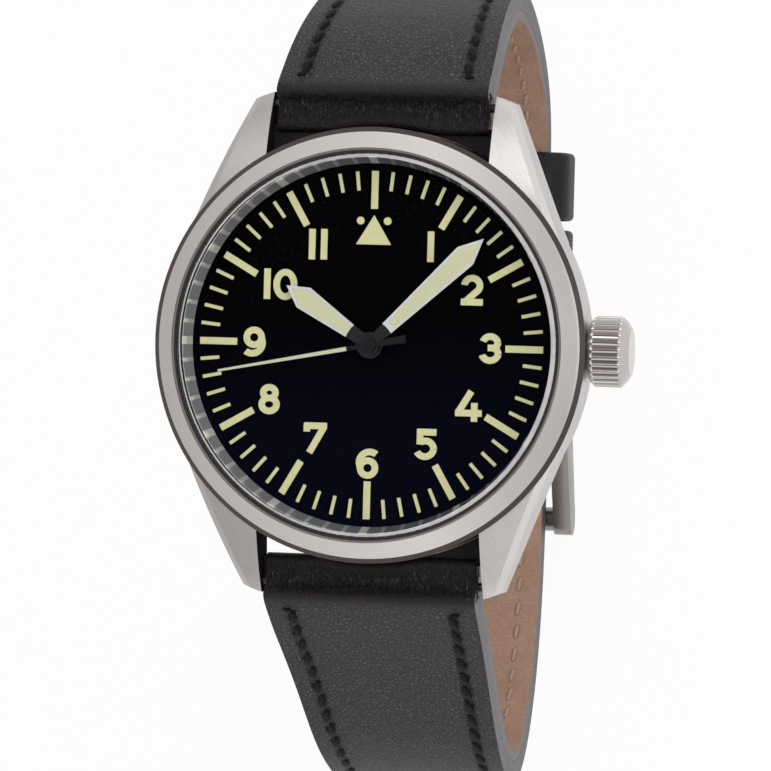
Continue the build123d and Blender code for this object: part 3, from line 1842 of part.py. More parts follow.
def tail_openings():
    """Shape the tail's tip and cut its holes."""
    low = tail_level - overrun
    high = tail_inner_level + overrun
    half_width = strap_width / 2
    with BuildSketch(Plane.XY.offset(low)) as face:
        with BuildLine():
            arcs = [
                ((-half_width, tail_end - half_width), (-half_width / 2, tail_end - half_width / 6)),
                ((half_width, tail_end - half_width), (half_width / 2, tail_end - half_width / 6)),
            ]
            for side_place, arc_place in arcs:
                ThreePointArc(side_place, arc_place, (0, tail_end))
            Polyline(
                (half_width, tail_end - half_width),
                (half_width, tail_end + overrun),
                (-half_width, tail_end + overrun),
                (-half_width, tail_end - half_width),
            )
        make_face()
    extrude(face.sketch, amount=high - low, mode=Mode.SUBTRACT)
    tongue_slot(
        tongue_hole_reach - tongue_hole_length / 2,
        tongue_hole_reach + tongue_hole_length / 2,
        low,
        high,
    )
    for place in (-1, 1, 2):
        reach = tongue_hole_reach + place * strap_hole_pitch
        disc(strap_hole_radius, low, high, (0, reach), Mode.SUBTRACT)


with BuildPart() as strap_bottom_leather:
    strap_band(bottom_samples, tail_end, outer_depth, leather_depth)
    roll(strap_roll_radius, -strap_roll_reach, strap_roll_height, Mode.ADD)
    strap_taper(tail_level)
    roll(spring_tube_radius + spring_tube_gap, -spring_bar_reach, spring_bar_height, Mode.SUBTRACT)
    tail_openings()
keep(strap_bottom_leather, "strap_bottom_leather")

with BuildPart() as strap_bottom_lining:
    strap_band(bottom_samples, tail_end, lining_depth, full_depth)
    strap_taper(tail_level)
    roll(strap_roll_radius + press_gap, -strap_roll_reach, strap_roll_height, Mode.SUBTRACT)
    tail_openings()
keep(strap_bottom_lining, "strap_bottom_lining")


def keeper(start, top, name):
    """A leather loop round both strap halves."""
    bottom = tail_level - leather_gap
    cavity_width = strap_width * taper_share[-1][1] + 2 * keeper_side_gap
    with BuildPart() as loop:
        with BuildSketch(Plane.XZ.offset(-start)):
            with Locations((0, (top + bottom) / 2)):
                RectangleRounded(
                    cavity_width + 2 * keeper_wall,
                    top - bottom + 2 * keeper_wall,
                    keeper_corner,
                )
                RectangleRounded(
                    cavity_width, top - bottom, keeper_side_gap, mode=Mode.SUBTRACT
                )
        extrude(amount=-keeper_length)
    keep(loop, name)


keeper(fixed_keeper_start, keeper_inner_top + press_gap, "fixed_keeper")
keeper(free_keeper_start, keeper_inner_top + leather_gap, "free_keeper")

# Pin buckle, its frame and its tongue turning on the same bar
front_height = tail_level - leather_gap - buckle_front_radius
with BuildPart() as buckle_frame:
    for side in (-1, 1):
        start, end = sorted((side * buckle_half_width, side * (buckle_half_width - buckle_side_thickness)))
        with BuildSketch(Plane.YZ.offset(start)):
            with Locations((buckle_pivot_reach, pivot_height)):
                Circle(buckle_side_radius)
            corner_height = front_height + buckle_corner_radius - buckle_front_radius
            with Locations((buckle_front_reach, corner_height)):
                Circle(buckle_corner_radius)
            make_hull()
        extrude(amount=end - start)
    rod(
        buckle_front_radius,
        -buckle_half_width,
        buckle_half_width,
        buckle_front_reach,
        front_height,
    )
    rod(
        buckle_bar_radius + running_fit,
        -buckle_bar_half_length - spring_tube_gap,
        buckle_bar_half_length + spring_tube_gap,
        buckle_pivot_reach,
        pivot_height,
        Mode.SUBTRACT,
    )
keep(buckle_frame, "buckle_frame")

tongue_rest = front_height - buckle_front_radius - tongue_rest_gap - tongue_thickness / 2
tongue_path = [
    (buckle_pivot_reach, pivot_height),
    (buckle_pivot_reach - tongue_knee[0], pivot_height - tongue_knee[1]),
    (buckle_pivot_reach - tongue_bend[0], pivot_height - tongue_bend[1]),
    (buckle_front_reach, tongue_rest),
    (buckle_front_reach - tongue_tip_length, tongue_rest),
]
with BuildPart() as buckle_tongue:
    with BuildSketch(Plane.YZ.offset(-tongue_width / 2)):
        for place, following in zip(tongue_path, tongue_path[1:]):
            middle = ((place[0] + following[0]) / 2, (place[1] + following[1]) / 2)
            with Locations(Location(middle, heading(place, following))):
                Rectangle(math.dist(place, following), tongue_thickness)
            with Locations(following):
                Circle(tongue_thickness / 2)
        with Locations(tongue_path[0]):
            Circle(tongue_eye_radius)
            Circle(buckle_bar_radius + running_fit, mode=Mode.SUBTRACT)
    extrude(amount=tongue_width)
keep(buckle_tongue, "buckle_tongue")
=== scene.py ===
import math

import bmesh
import bpy
from mathutils import Matrix, Vector


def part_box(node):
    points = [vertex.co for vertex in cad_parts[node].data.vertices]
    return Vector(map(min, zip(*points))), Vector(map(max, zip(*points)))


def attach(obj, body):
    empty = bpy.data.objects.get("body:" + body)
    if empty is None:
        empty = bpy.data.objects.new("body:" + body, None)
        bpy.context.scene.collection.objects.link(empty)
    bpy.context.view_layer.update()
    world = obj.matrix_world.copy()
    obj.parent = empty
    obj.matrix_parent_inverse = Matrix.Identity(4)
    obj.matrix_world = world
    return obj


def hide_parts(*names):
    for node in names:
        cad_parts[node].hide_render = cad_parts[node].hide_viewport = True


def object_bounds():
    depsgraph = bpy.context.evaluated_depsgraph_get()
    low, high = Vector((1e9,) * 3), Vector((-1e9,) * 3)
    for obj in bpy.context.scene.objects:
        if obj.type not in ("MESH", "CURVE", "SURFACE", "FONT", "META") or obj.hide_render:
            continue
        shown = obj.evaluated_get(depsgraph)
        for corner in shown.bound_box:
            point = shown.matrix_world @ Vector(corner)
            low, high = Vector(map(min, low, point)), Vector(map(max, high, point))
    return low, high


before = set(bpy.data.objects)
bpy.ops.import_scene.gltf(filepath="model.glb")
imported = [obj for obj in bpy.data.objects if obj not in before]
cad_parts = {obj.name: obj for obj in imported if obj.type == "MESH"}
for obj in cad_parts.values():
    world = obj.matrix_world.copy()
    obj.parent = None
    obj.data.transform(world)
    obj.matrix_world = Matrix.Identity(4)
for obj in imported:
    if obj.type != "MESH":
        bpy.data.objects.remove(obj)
cad_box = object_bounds()

# The mid-case: one milled block of steel with its four lugs. The tops of the lugs are satined
# in slanting strokes, their bevels polished, and the flanks satined in the same strokes. The
# bevels' shine is a painted highlight, and the steel is painted darker towards nine o'clock as
# shade.
MM = 0.001


def srgb(red, green, blue):
    """A colour written as it looks, turned into the light that it reflects."""
    shares = (part / 255 for part in (red, green, blue))
    return tuple(s / 12.92 if s < 0.04045 else ((s + 0.055) / 1.055) ** 2.4 for s in shares)


class Finish:
    """A material under way: its shader, and the nodes that vary it over the surface."""

    def __init__(self, name, colour, roughness, metallic=0.0, specular=0.5):
        self.material = bpy.data.materials.new(name)
        self.material.use_nodes = True
        self.nodes = self.material.node_tree.nodes
        self.links = self.material.node_tree.links
        self.shader = self.nodes["Principled BSDF"]
        self.shader.inputs["Base Color"].default_value = (*colour, 1)
        self.shader.inputs["Roughness"].default_value = roughness
        self.shader.inputs["Metallic"].default_value = metallic
        self.shader.inputs["Specular IOR Level"].default_value = specular

    def space(self, size, turn=0.0, source="Object"):
        """Coordinates in which one unit is the size given, in millimetres each way."""
        coordinate = self.nodes.new("ShaderNodeTexCoord")
        mapping = self.nodes.new("ShaderNodeMapping")
        mapping.vector_type = "TEXTURE"
        mapping.inputs["Scale"].default_value = [side * MM for side in size]
        mapping.inputs["Rotation"].default_value = (0, 0, math.radians(turn))
        self.links.new(coordinate.outputs[source], mapping.inputs["Vector"])
        return mapping.outputs["Vector"]

    def part(self, vector, axis):
        """One coordinate, in the space's own unit."""
        node = self.nodes.new("ShaderNodeSeparateXYZ")
        self.links.new(vector, node.inputs["Vector"])
        return node.outputs[axis]

    def facing(self, axis):
        """How far the surface faces along one axis of the watch, from -1 to 1."""
        coordinate = self.nodes.new("ShaderNodeTexCoord")
        return self.part(coordinate.outputs["Normal"], axis)

    def radius(self):
        """Distance from the watch's centre line, in millimetres."""
        place = self.space((1, 1, 1))
        across = self.part(place, "X")
        along = self.part(place, "Y")
        return self.distance(across, along)

    def distance(self, across, along):
        """Length of the long side of a right triangle with these two sides."""
        square = self.sum("MULTIPLY", along, along)
        square = self.sum("ADD", self.sum("MULTIPLY", across, across), square)
        return self.sum("POWER", square, 0.5)

    def noise(self, space, detail=2.0, roughness=0.5, distortion=0.0):
        """Cloudy variation from 0 to 1."""
        texture = self.nodes.new("ShaderNodeTexNoise")
        texture.inputs["Scale"].default_value = 1
        texture.inputs["Detail"].default_value = detail
        texture.inputs["Roughness"].default_value = roughness
        texture.inputs["Distortion"].default_value = distortion
        self.links.new(space, texture.inputs["Vector"])
        return texture.outputs["Fac"]

    def cells(self, space):
        """Distance to the edge of irregular cells, as on grained leather."""
        texture = self.nodes.new("ShaderNodeTexVoronoi")
        texture.feature = "DISTANCE_TO_EDGE"
        texture.inputs["Scale"].default_value = 1
        self.links.new(space, texture.inputs["Vector"])
        return texture.outputs["Distance"]

    def spread(self, value, low, high, to_low=0.0, to_high=1.0):
        """A value stretched from one span to another, and held at its ends."""
        node = self.nodes.new("ShaderNodeMapRange")
        node.inputs["From Min"].default_value = low
        node.inputs["From Max"].default_value = high
        node.inputs["To Min"].default_value = to_low
        node.inputs["To Max"].default_value = to_high
        self.links.new(value, node.inputs["Value"])
        return node.outputs["Result"]

    def sum(self, operation, first, second=0.0):
        """Arithmetic on two values, or on a value and a number."""
        node = self.nodes.new("ShaderNodeMath")
        node.operation = operation
        for socket, value in zip(node.inputs, (first, second)):
            if isinstance(value, (int, float)):
                socket.default_value = value
            else:
                self.links.new(value, socket)
        return node.outputs["Value"]

    def vary_colour(self, share, low, high):
        """Colour that runs from low to high as share runs from 0 to 1."""
        node = self.nodes.new("ShaderNodeMix")
        node.data_type = "RGBA"
        for socket, colour in ((node.inputs[6], low), (node.inputs[7], high)):
            if isinstance(colour, tuple):
                socket.default_value = (*colour, 1)
            else:
                self.links.new(colour, socket)
        self.links.new(share, node.inputs[0])
        self.links.new(node.outputs[2], self.shader.inputs["Base Color"])
        return node.outputs[2]

    def vary_roughness(self, share, low, high):
        """Roughness that runs from low to high as share runs from 0 to 1."""
        self.links.new(self.spread(share, 0, 1, low, high), self.shader.inputs["Roughness"])

    def relief(self, height, depth):
        """Small relief in the surface, depth in millimetres for a height of one."""
        node = self.nodes.new("ShaderNodeBump")
        node.inputs["Distance"].default_value = depth * MM
        self.links.new(height, node.inputs["Height"])
        self.links.new(node.outputs["Normal"], self.shader.inputs["Normal"])


def darker(colour, share):
    """The same colour, reflecting a smaller share of the light."""
    return tuple(part * share for part in colour)


def dress(finish, *names):
    """Give plain pieces their finish."""
    for name in names:
        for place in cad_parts[name].material_slots:
            place.material = finish.material


def satin_steel(name, colour, stroke, turn=0.0, depth=0.0015):
    """Steel satined in fine straight strokes."""
    steel = Finish(name, colour, 0.34, 1.0)
    lines = steel.noise(steel.space(stroke, turn), detail=3, roughness=0.6)
    cloud = steel.noise(steel.space((5, 5, 5)), detail=2)
    steel.vary_roughness(steel.sum("MULTIPLY", lines, cloud), 0.26, 0.6)
    tone = steel.vary_colour(steel.spread(lines, 0.36, 0.62), darker(colour, 0.87), colour)
    steel.relief(lines, depth)
    return steel, tone


case_stroke = (1.8, 0.08, 1.8)
case_stroke_turn = -52
case_right, case_left = 14, -15
lug_gap_half = 10.3
case_steel, case_tone = satin_steel(
    "satin_case_steel", srgb(196, 192, 190), case_stroke, case_stroke_turn
)
# Painted highlight: the sloping bevels are painted lighter than the flat tops and the flanks.
not_level = case_steel.spread(case_steel.facing("Z"), 0.84, 0.78)
not_upright = case_steel.spread(case_steel.facing("Z"), 0.3, 0.36)
polished = case_steel.sum("MULTIPLY", not_level, not_upright)
case_tone = case_steel.vary_colour(polished, case_tone, srgb(214, 211, 209))
case_across = case_steel.part(case_steel.space((1, 1, 1)), "X")
# Painted shade: the steel is painted darker towards nine o'clock, away from the stronger light.
painted_left_shade = case_steel.spread(case_across, case_right, case_left, 0, 0.64)
case_tone = case_steel.vary_colour(painted_left_shade, case_tone, srgb(128, 123, 120))
beside_middle = case_steel.sum("ABSOLUTE", case_across)
between_lugs = case_steel.spread(beside_middle, lug_gap_half + 0.1, lug_gap_half)
case_tilt = case_steel.sum("ABSOLUTE", case_steel.facing("Z"))
inner_wall = case_steel.spread(case_tilt, 0.3, 0.2)
shaded_wall = case_steel.sum("MULTIPLY", between_lugs, inner_wall)
case_steel.vary_colour(shaded_wall, case_tone, srgb(34, 31, 31))
for socket, full in (("Metallic", 1.0), ("Specular IOR Level", 0.5)):
    level = case_steel.spread(shaded_wall, 0, 1, full, 0.03)
    case_steel.links.new(level, case_steel.shader.inputs[socket])
case_satin = case_steel.shader.inputs["Roughness"].links[0].from_socket
case_satin = case_steel.sum("MAXIMUM", case_satin, shaded_wall)
case_steel.links.new(case_satin, case_steel.shader.inputs["Roughness"])
dress(case_steel, "mid_case")

# The bezel: a turned ring with a broad satin slope, pressed over the case. Its rim and its
# inner wall keep the bright lathe finish; the dark they mirror between case and glass is a painted
# reflection.
bezel_slope_inner = 17.72
bezel_slope_outer = 19.14
bezel_slope_edge = 0.04
bezel_shade_start, bezel_shade_end = 6, 18
bezel_shade = srgb(134, 130, 127)
bezel_steel = Finish("turned_bezel_steel", srgb(205, 201, 199), 0.3, 1.0)
bezel_reach = bezel_steel.radius()
turning = bezel_steel.nodes.new("ShaderNodeTexNoise")
turning.noise_dimensions = "1D"
turning.inputs["Scale"].default_value = 14
turning.inputs["Detail"].default_value = 2
bezel_steel.links.new(bezel_reach, turning.inputs["W"])
bezel_cloud = bezel_steel.noise(bezel_steel.space((6, 6, 6)), detail=3)
bezel_lines = turning.outputs["Fac"]
slope_tone = bezel_steel.vary_colour(bezel_lines, srgb(204, 199, 197), srgb(222, 217, 215))
outside = bezel_steel.spread(bezel_reach, bezel_slope_outer, bezel_slope_outer + bezel_slope_edge)
inside = bezel_steel.spread(bezel_reach, bezel_slope_inner, bezel_slope_inner - bezel_slope_edge)
polished_rims_painted_dark = bezel_steel.sum("MAXIMUM", outside, inside)
bezel_across = bezel_steel.part(bezel_steel.space((1, 1, 1)), "X")
for shade_end in (-bezel_shade_end, bezel_shade_end):
    shaded_side = bezel_steel.spread(bezel_across, bezel_shade_start, shade_end, 0, 0.56)
    slope_tone = bezel_steel.vary_colour(shaded_side, slope_tone, bezel_shade)
# Painted reflection: the polished rims are painted dark, for the dark between case and glass.
bezel_steel.vary_colour(polished_rims_painted_dark, slope_tone, srgb(76, 70, 69))
satin = bezel_steel.sum("MULTIPLY", bezel_steel.sum("ADD", bezel_cloud, bezel_lines), 0.5)
satin = bezel_steel.spread(satin, 0, 1, 0.3, 0.5)
satin = bezel_steel.sum("SUBTRACT", satin, bezel_steel.sum("MULTIPLY", polished_rims_painted_dark, 0.2))
bezel_steel.links.new(satin, bezel_steel.shader.inputs["Roughness"])
bezel_steel.relief(bezel_lines, 0.0008)
dress(bezel_steel, "bezel")

# The crystal: a flat disc of clear sapphire with a ground bevel round its rim. It sits in a
# black seal that is pressed into the bezel.
crystal_clear = Finish("clear_sapphire", (1.0, 1.0, 1.0), 0.0)
through = crystal_clear.nodes.new("ShaderNodeBsdfTransparent")
through.inputs["Color"].default_value = (0.97, 0.98, 0.99, 1)
shine = crystal_clear.nodes.new("ShaderNodeBsdfGlossy")
shine.inputs["Roughness"].default_value = 0.03
shine.inputs["Color"].default_value = (0.7, 0.67, 0.67, 1)
edge_on = crystal_clear.nodes.new("ShaderNodeFresnel")
edge_on.inputs["IOR"].default_value = 1.05
tilt = crystal_clear.facing("Z")
not_face = crystal_clear.spread(tilt, 0.97, 0.9)
ground = crystal_clear.sum("MULTIPLY", not_face, crystal_clear.spread(tilt, 0.2, 0.3))
frost = crystal_clear.noise(crystal_clear.space((2, 2, 2)))
frost = crystal_clear.spread(frost, 0.3, 0.7, 0.6, 0.8)
frost = crystal_clear.sum("MULTIPLY", ground, frost)
share = crystal_clear.sum("MAXIMUM", edge_on.outputs["Fac"], frost)
blend = crystal_clear.nodes.new("ShaderNodeMixShader")
crystal_clear.links.new(share, blend.inputs["Fac"])
crystal_clear.links.new(through.outputs["BSDF"], blend.inputs[1])
crystal_clear.links.new(shine.outputs["BSDF"], blend.inputs[2])
crystal_clear.links.new(
    blend.outputs["Shader"], crystal_clear.nodes["Material Output"].inputs["Surface"]
)
dress(crystal_clear, "crystal")

seal_rim_radius = 17.5
seal_rubber = Finish("seal_rubber", srgb(34, 32, 33), 0.55, specular=0.3)
seal_bloom = seal_rubber.noise(seal_rubber.space((0.6, 0.6, 0.6)), detail=3)
seal_tone = seal_rubber.vary_colour(seal_bloom, srgb(26, 25, 26), srgb(44, 42, 43))
# Painted highlight: a pale ring is painted on the seal's outer edge.
seal_rim_painted_highlight = seal_rubber.spread(seal_rubber.radius(), seal_rim_radius, seal_rim_radius + 0.03)
seal_rubber.vary_colour(seal_rim_painted_highlight, seal_tone, srgb(128, 122, 120))
seal_rubber.vary_roughness(seal_bloom, 0.45, 0.7)
seal_rubber.relief(seal_bloom, 0.01)
dress(seal_rubber, "crystal_gasket", "case_back_gasket", "crown_gasket")

# The flange: a mirror-polished steel ring between the dial and the crystal, resting on the
# dial's rim. Its mirror image of the minute marks is a painted reflection, paler towards nine
# o'clock.


def bright_steel(name, colour, roughness=0.09):
    """Steel polished bright, with the faint haze of handling."""
    steel = Finish(name, colour, roughness, 1.0)
    haze = steel.noise(steel.space((3, 3, 3)), detail=4)
    steel.vary_colour(haze, darker(colour, 0.9), colour)
    steel.vary_roughness(haze, roughness * 0.6, roughness * 1.5)
    return steel


flange_left, flange_right = -16, 9
flange_mirror = bright_steel("mirror_flange", srgb(196, 196, 198), 0.06)
flange_mirror.shader.inputs["Metallic"].default_value = 0.3
flange_place = flange_mirror.space((1, 1, 1))
flange_across = flange_mirror.part(flange_place, "X")
flange_turn = flange_mirror.sum("ARCTAN2", flange_across, flange_mirror.part(flange_place, "Y"))
minute_wave = flange_mirror.sum("COSINE", flange_mirror.sum("MULTIPLY", flange_turn, 60))
hour_wave = flange_mirror.sum("COSINE", flange_mirror.sum("MULTIPLY", flange_turn, 12))
# Painted reflection: pale ticks on grey, paler towards nine o'clock and darker towards three.
reflection_side_share = flange_mirror.spread(flange_across, flange_left, flange_right)
painted_dial_reflection = flange_mirror.vary_colour(reflection_side_share, srgb(172, 172, 170), srgb(120, 120, 122))
painted_minute_reflection = flange_mirror.vary_colour(reflection_side_share, srgb(226, 226, 220), srgb(168, 168, 164))
painted_dial_reflection = flange_mirror.vary_colour(
    flange_mirror.spread(minute_wave, 0.72, 0.84), painted_dial_reflection, painted_minute_reflection
)
flange_mirror.vary_colour(
    flange_mirror.spread(hour_wave, 0.962, 0.972), painted_dial_reflection, srgb(246, 244, 232)
)
dress(flange_mirror, "flange_ring")

# The dial: a brass disc under smooth black lacquer, with the minute marks and the numerals
# printed on it in thick luminous paint.
dial_blue_start, dial_blue_end = 3, -9
dial_lacquer = Finish("black_dial_lacquer", srgb(3, 3, 5), 0.5, specular=0.01)
dial_flow = dial_lacquer.noise(dial_lacquer.space((0.3, 0.3, 0.3)), detail=3)
dial_tone = dial_lacquer.vary_colour(dial_flow, srgb(0, 0, 1), srgb(3, 3, 4))
dial_down = dial_lacquer.part(dial_lacquer.space((1, 1, 1)), "Y")
dial_down = dial_lacquer.spread(dial_down, dial_blue_start, dial_blue_end)
dial_lacquer.vary_colour(dial_down, dial_tone, srgb(6, 7, 19))
dial_lacquer.vary_roughness(dial_flow, 0.42, 0.55)
dress(dial_lacquer, "dial")


def lume_paint(name, colour, pale):
    """Thick luminous paint, a little chalky."""
    paint = Finish(name, colour, 0.7, specular=0.2)
    grain = paint.noise(paint.space((0.35, 0.35, 0.35)), detail=4)
    paint.vary_colour(grain, colour, pale)
    paint.vary_roughness(grain, 0.6, 0.8)
    paint.relief(grain, 0.03)
    return paint


dress(
    lume_paint("mark_lume", srgb(226, 221, 158), srgb(240, 235, 184)),
    *("minute_marks", "hour_numerals"),
)

# The hands: stamped blades painted silver round windows of lume. Hour and minute hand are
# black at the root, and the seconds hand has a black boss and tail; all are pressed on.
hand_root = 2.3
paint_edge = 0.03
hand_silver = Finish("hand_silver", srgb(222, 221, 219), 0.3, 0.55)
hand_flow = hand_silver.noise(hand_silver.space((0.4, 0.4, 0.4)))
silver_tone = hand_silver.vary_colour(hand_flow, srgb(206, 205, 203), srgb(232, 231, 229))
root_mask = hand_silver.spread(hand_silver.radius(), hand_root, hand_root - paint_edge)
hand_silver.vary_colour(root_mask, silver_tone, srgb(20, 20, 22))
hand_silver.vary_roughness(hand_flow, 0.3, 0.45)
dress(hand_silver, "hour_hand", "minute_hand")
dress(
    lume_paint("hand_lume", srgb(222, 218, 172), srgb(234, 229, 192)),
    *("hour_hand_lume", "minute_hand_lume"),
)

seconds_angle = 259.0
seconds_root = 2.0
seconds_paint = lume_paint("seconds_paint", srgb(222, 218, 180), srgb(230, 226, 194))
seconds_way = seconds_paint.part(seconds_paint.space((1, 1, 1), 90 - seconds_angle), "X")
seconds_tone = seconds_paint.shader.inputs["Base Color"].links[0].from_socket
seconds_mask = seconds_paint.spread(seconds_way, seconds_root, seconds_root - paint_edge)
seconds_paint.vary_colour(seconds_mask, seconds_tone, srgb(16, 16, 18))
dress(seconds_paint, "seconds_hand")

# The crown: a fluted steel knob with a plain domed end, screwed on its stem. It turns and
# pulls out over the tube that is pressed into the case.
crown_axis_height = 4.0
crown_flute_radius = 3.17
crown_groove_radius = 2.98
crown_flutes_start, crown_flutes_end = 20.2, 22.4
crown_steel = bright_steel("polished_crown", srgb(196, 191, 188), 0.16)
crown_place = crown_steel.space((1, 1, 1))
crown_up = crown_steel.sum("SUBTRACT", crown_steel.part(crown_place, "Z"), crown_axis_height)
crown_along = crown_steel.part(crown_place, "Y")
crown_reach = crown_steel.distance(crown_up, crown_along)
flute_groove_painted_shade = crown_steel.spread(crown_reach, crown_flute_radius, crown_groove_radius)
crown_out = crown_steel.part(crown_place, "X")
before_end = crown_steel.spread(crown_out, crown_flutes_end + 0.1, crown_flutes_end)
after_start = crown_steel.spread(crown_out, crown_flutes_start - 0.1, crown_flutes_start)
flute_groove_painted_shade = crown_steel.sum("MULTIPLY", flute_groove_painted_shade, before_end)
flute_groove_painted_shade = crown_steel.sum("MULTIPLY", flute_groove_painted_shade, after_start)
crown_tone = crown_steel.shader.inputs["Base Color"].links[0].from_socket
# Painted shade: the grooves between the flutes are painted darker.
crown_steel.vary_colour(flute_groove_painted_shade, crown_tone, srgb(96, 88, 84))
dress(crown_steel, "crown", "crown_tube", "winding_stem")

# The case back: a satin steel plate with six key notches, screwed in from behind on its seal.
back_steel, _ = satin_steel("satin_back_steel", srgb(203, 200, 198), (3, 0.06, 3), 20)
dress(back_steel, "case_back")

# The movement: nickel-plated plates, bridges and rotor, gilt wheels, hardened steel parts,
# blued springs and pink jewels. The plates are satined before plating.
nickel, _ = satin_steel("nickel_plate", srgb(196, 194, 186), (2.4, 0.1, 2.4), 30)
dress(
    nickel,
    *("main_plate", "barrel_bridge", "train_bridge", "balance_cock", "movement_ring", "rotor"),
)
gilt, _ = satin_steel("gilt_brass", srgb(206, 170, 98), (0.8, 0.05, 0.8), 0, 0.0008)
dress(
    gilt,
    *("barrel", "second_wheel", "third_wheel", "fourth_wheel", "balance_wheel"),
    *("minute_wheel", "hour_wheel"),
)
dress(
    bright_steel("hardened_steel", srgb(186, 186, 188), 0.16),
    *("barrel_arbor", "escape_wheel", "pallet_fork", "bridge_screws", "movement_clamps"),
    *("cannon_pinion", "ratchet_wheel", "crown_wheel", "winding_pinion", "sliding_pinion"),
    *("setting_lever", "rotor_bearing"),
)
dress(
    bright_steel("tempered_spring_bar", srgb(66, 62, 61), 0.35),
    *("spring_bar_tubes", "top_pin_left", "top_pin_right", "bottom_pin_left", "bottom_pin_right"),
)
dress(bright_steel("blued_spring", srgb(74, 88, 126), 0.2), "hairspring", "mainspring")
ruby = Finish("ruby_jewel", srgb(170, 30, 70), 0.08)
ruby.vary_colour(ruby.noise(ruby.space((0.3, 0.3, 0.3))), srgb(150, 20, 60), srgb(190, 40, 90))
dress(ruby, "jewels")

# The strap halves: black top leather folded round a spring bar at the lugs, the short half also
# turned round the buckle's bar, glued to a tan lining. The cut edges are painted grey. Each layer
# is cut and punched flat, and then bent along its curve.
strap_half_width = 10.0
strap_top_height = 4.4
strap_reach = 22.0
lug_thickness = 3.5
end_thickness = 2.2
lining_thickness = 1.0
fold_thickness = 0.75
turned_thickness = 0.65
lining_start = 1.2
fold_reach = 19.98
fold_front_reach = 19.05
fold_case_reach = 19.6
fold_drawn = [(-3.7, 1.0), (-2.5, 0.0)]
strap_columns = 44
fold_places = [
    (23.2, 0.55),
    (22.4, 0.5),
    (21.5, 0.5),
    (20.7, 0.75),
    (20.15, 1.35),
    (19.95, 2.1),
    (20.05, 2.8),
    (20.4, 3.2),
    (20.8, 3.15),
    (21.15, 2.85),
    (21.6, 2.8),
    (22.0, 3.1),
    (22.3, 3.75),
    (22.8, 4.3),
]
top_share = [
    (0.132, 0.015),
    (0.221, 0.048),
    (0.541, 0.163),
    (0.787, 0.302),
    (1.0, 0.479),
    (0.918, 0.648),
    (0.66, 0.815),
    (0.332, 0.939),
    (-0.037, 1.0),
    (-0.529, 1.0),
]
bottom_share = [
    (0.081, 0.015),
    (0.222, 0.102),
    (0.455, 0.252),
    (0.765, 0.42),
    (0.925, 0.551),
    (1.0, 0.669),
    (0.92, 0.799),
    (0.625, 0.913),
    (0.275, 0.973),
    (-0.1, 1.0),
    (-0.5, 1.0),
]
taper_share = [(-0.1, 0.97), (0.0, 0.97), (0.1, 0.955), (0.3, 0.9), (0.55, 0.845), (1.0, 0.81)]


def between(table, place):
    """A value read off a table of pairs, straight between its rows."""
    for (low, first), (high, second) in zip(table, table[1:]):
        if place <= high:
            return first + (second - first) * max(0.0, (place - low) / (high - low))
    return table[-1][1]


class StrapHalf:
    """The bent line of a strap half's outer face, measured along it from the fold."""

    def __init__(self, side, shares, reach, level, flat_end, turned_end=()):
        self.side = side
        self.level = level
        drop = level - strap_top_height
        fold = [Vector((side * out, height)) for out, height in fold_places]
        rest = [
            Vector((side * (strap_reach + out * reach), strap_top_height + down * drop))
            for out, down in shares
        ]
        places = self.smooth(fold + rest[:2], 4)
        places += self.smooth([fold[-1], *rest, 2 * rest[-1] - rest[-2]], 8)
        last = places[-1]
        left = flat_end - last.x
        steps = round(abs(left))
        places += [Vector((last.x + left * n / steps, last.y)) for n in range(1, steps + 1)]
        flat_count = len(places)
        places += [Vector(place) for place in turned_end]
        self.places = places
        start = min(range(len(places)), key=lambda n: (places[n] - rest[0]).length)
        self.lengths = [0.0]
        for near, far in zip(places, places[1:]):
            self.lengths.append(self.lengths[-1] + (far - near).length)
        before = self.lengths[start]
        self.lengths = [length - before for length in self.lengths]
        self.flat_length = self.lengths[flat_count - 1]

    @staticmethod
    def smooth(controls, steps):
        """Points of a smooth curve that is led by its controls."""
        places = []
        for near in zip(controls, controls[1:], controls[2:], controls[3:]):
            for step in range(steps):
                way = step / steps
                weights = (
                    (1 - way) ** 3 / 6,
                    (3 * way**3 - 6 * way**2 + 4) / 6,
                    (-3 * way**3 + 3 * way**2 + 3 * way + 1) / 6,
                    way**3 / 6,
                )
                places.append(sum((w * c for w, c in zip(weights, near)), Vector((0, 0))))
        return places

    def frame_at(self, length):
        """Place, direction along and outward direction at a length from the fold."""
        last = len(self.lengths) - 2
        row = next((n for n, far in enumerate(self.lengths[1:]) if far >= length), last)
        near, far = self.places[row], self.places[row + 1]
        way = (length - self.lengths[row]) / (self.lengths[row + 1] - self.lengths[row])
        before = self.places[max(row - 1, 0)]
        after = self.places[min(row + 2, last + 1)]
        along = ((far - before) * (1 - way) + (after - near) * way).normalized()
        outward = Vector((-along.y, along.x)) * self.side
        return near + (far - near) * way, along, outward

    def width_share(self, place):
        """Half-width at a place, as a share of the width at the lugs."""
        down = (place.y - strap_top_height) / (self.level - strap_top_height)
        return between(taper_share, down)

    def thickness(self, length):
        """Whole thickness at a length from the fold."""
        way = min(max(length / self.lengths[-1], 0.0), 1.0)
        return lug_thickness + (end_thickness - lug_thickness) * way

    def bend(self, across, length, depth):
        """Where a point of the flat strap lies once it is bent, in metres."""
        place, _, outward = self.frame_at(length)
        place = place - outward * depth
        beside_case = math.sqrt(fold_case_reach**2 - across**2)
        drawn = fold_reach - max(beside_case, fold_front_reach)
        drawn *= between(fold_drawn, length)
        return Vector((across, place.x - self.side * drawn, place.y)) * MM


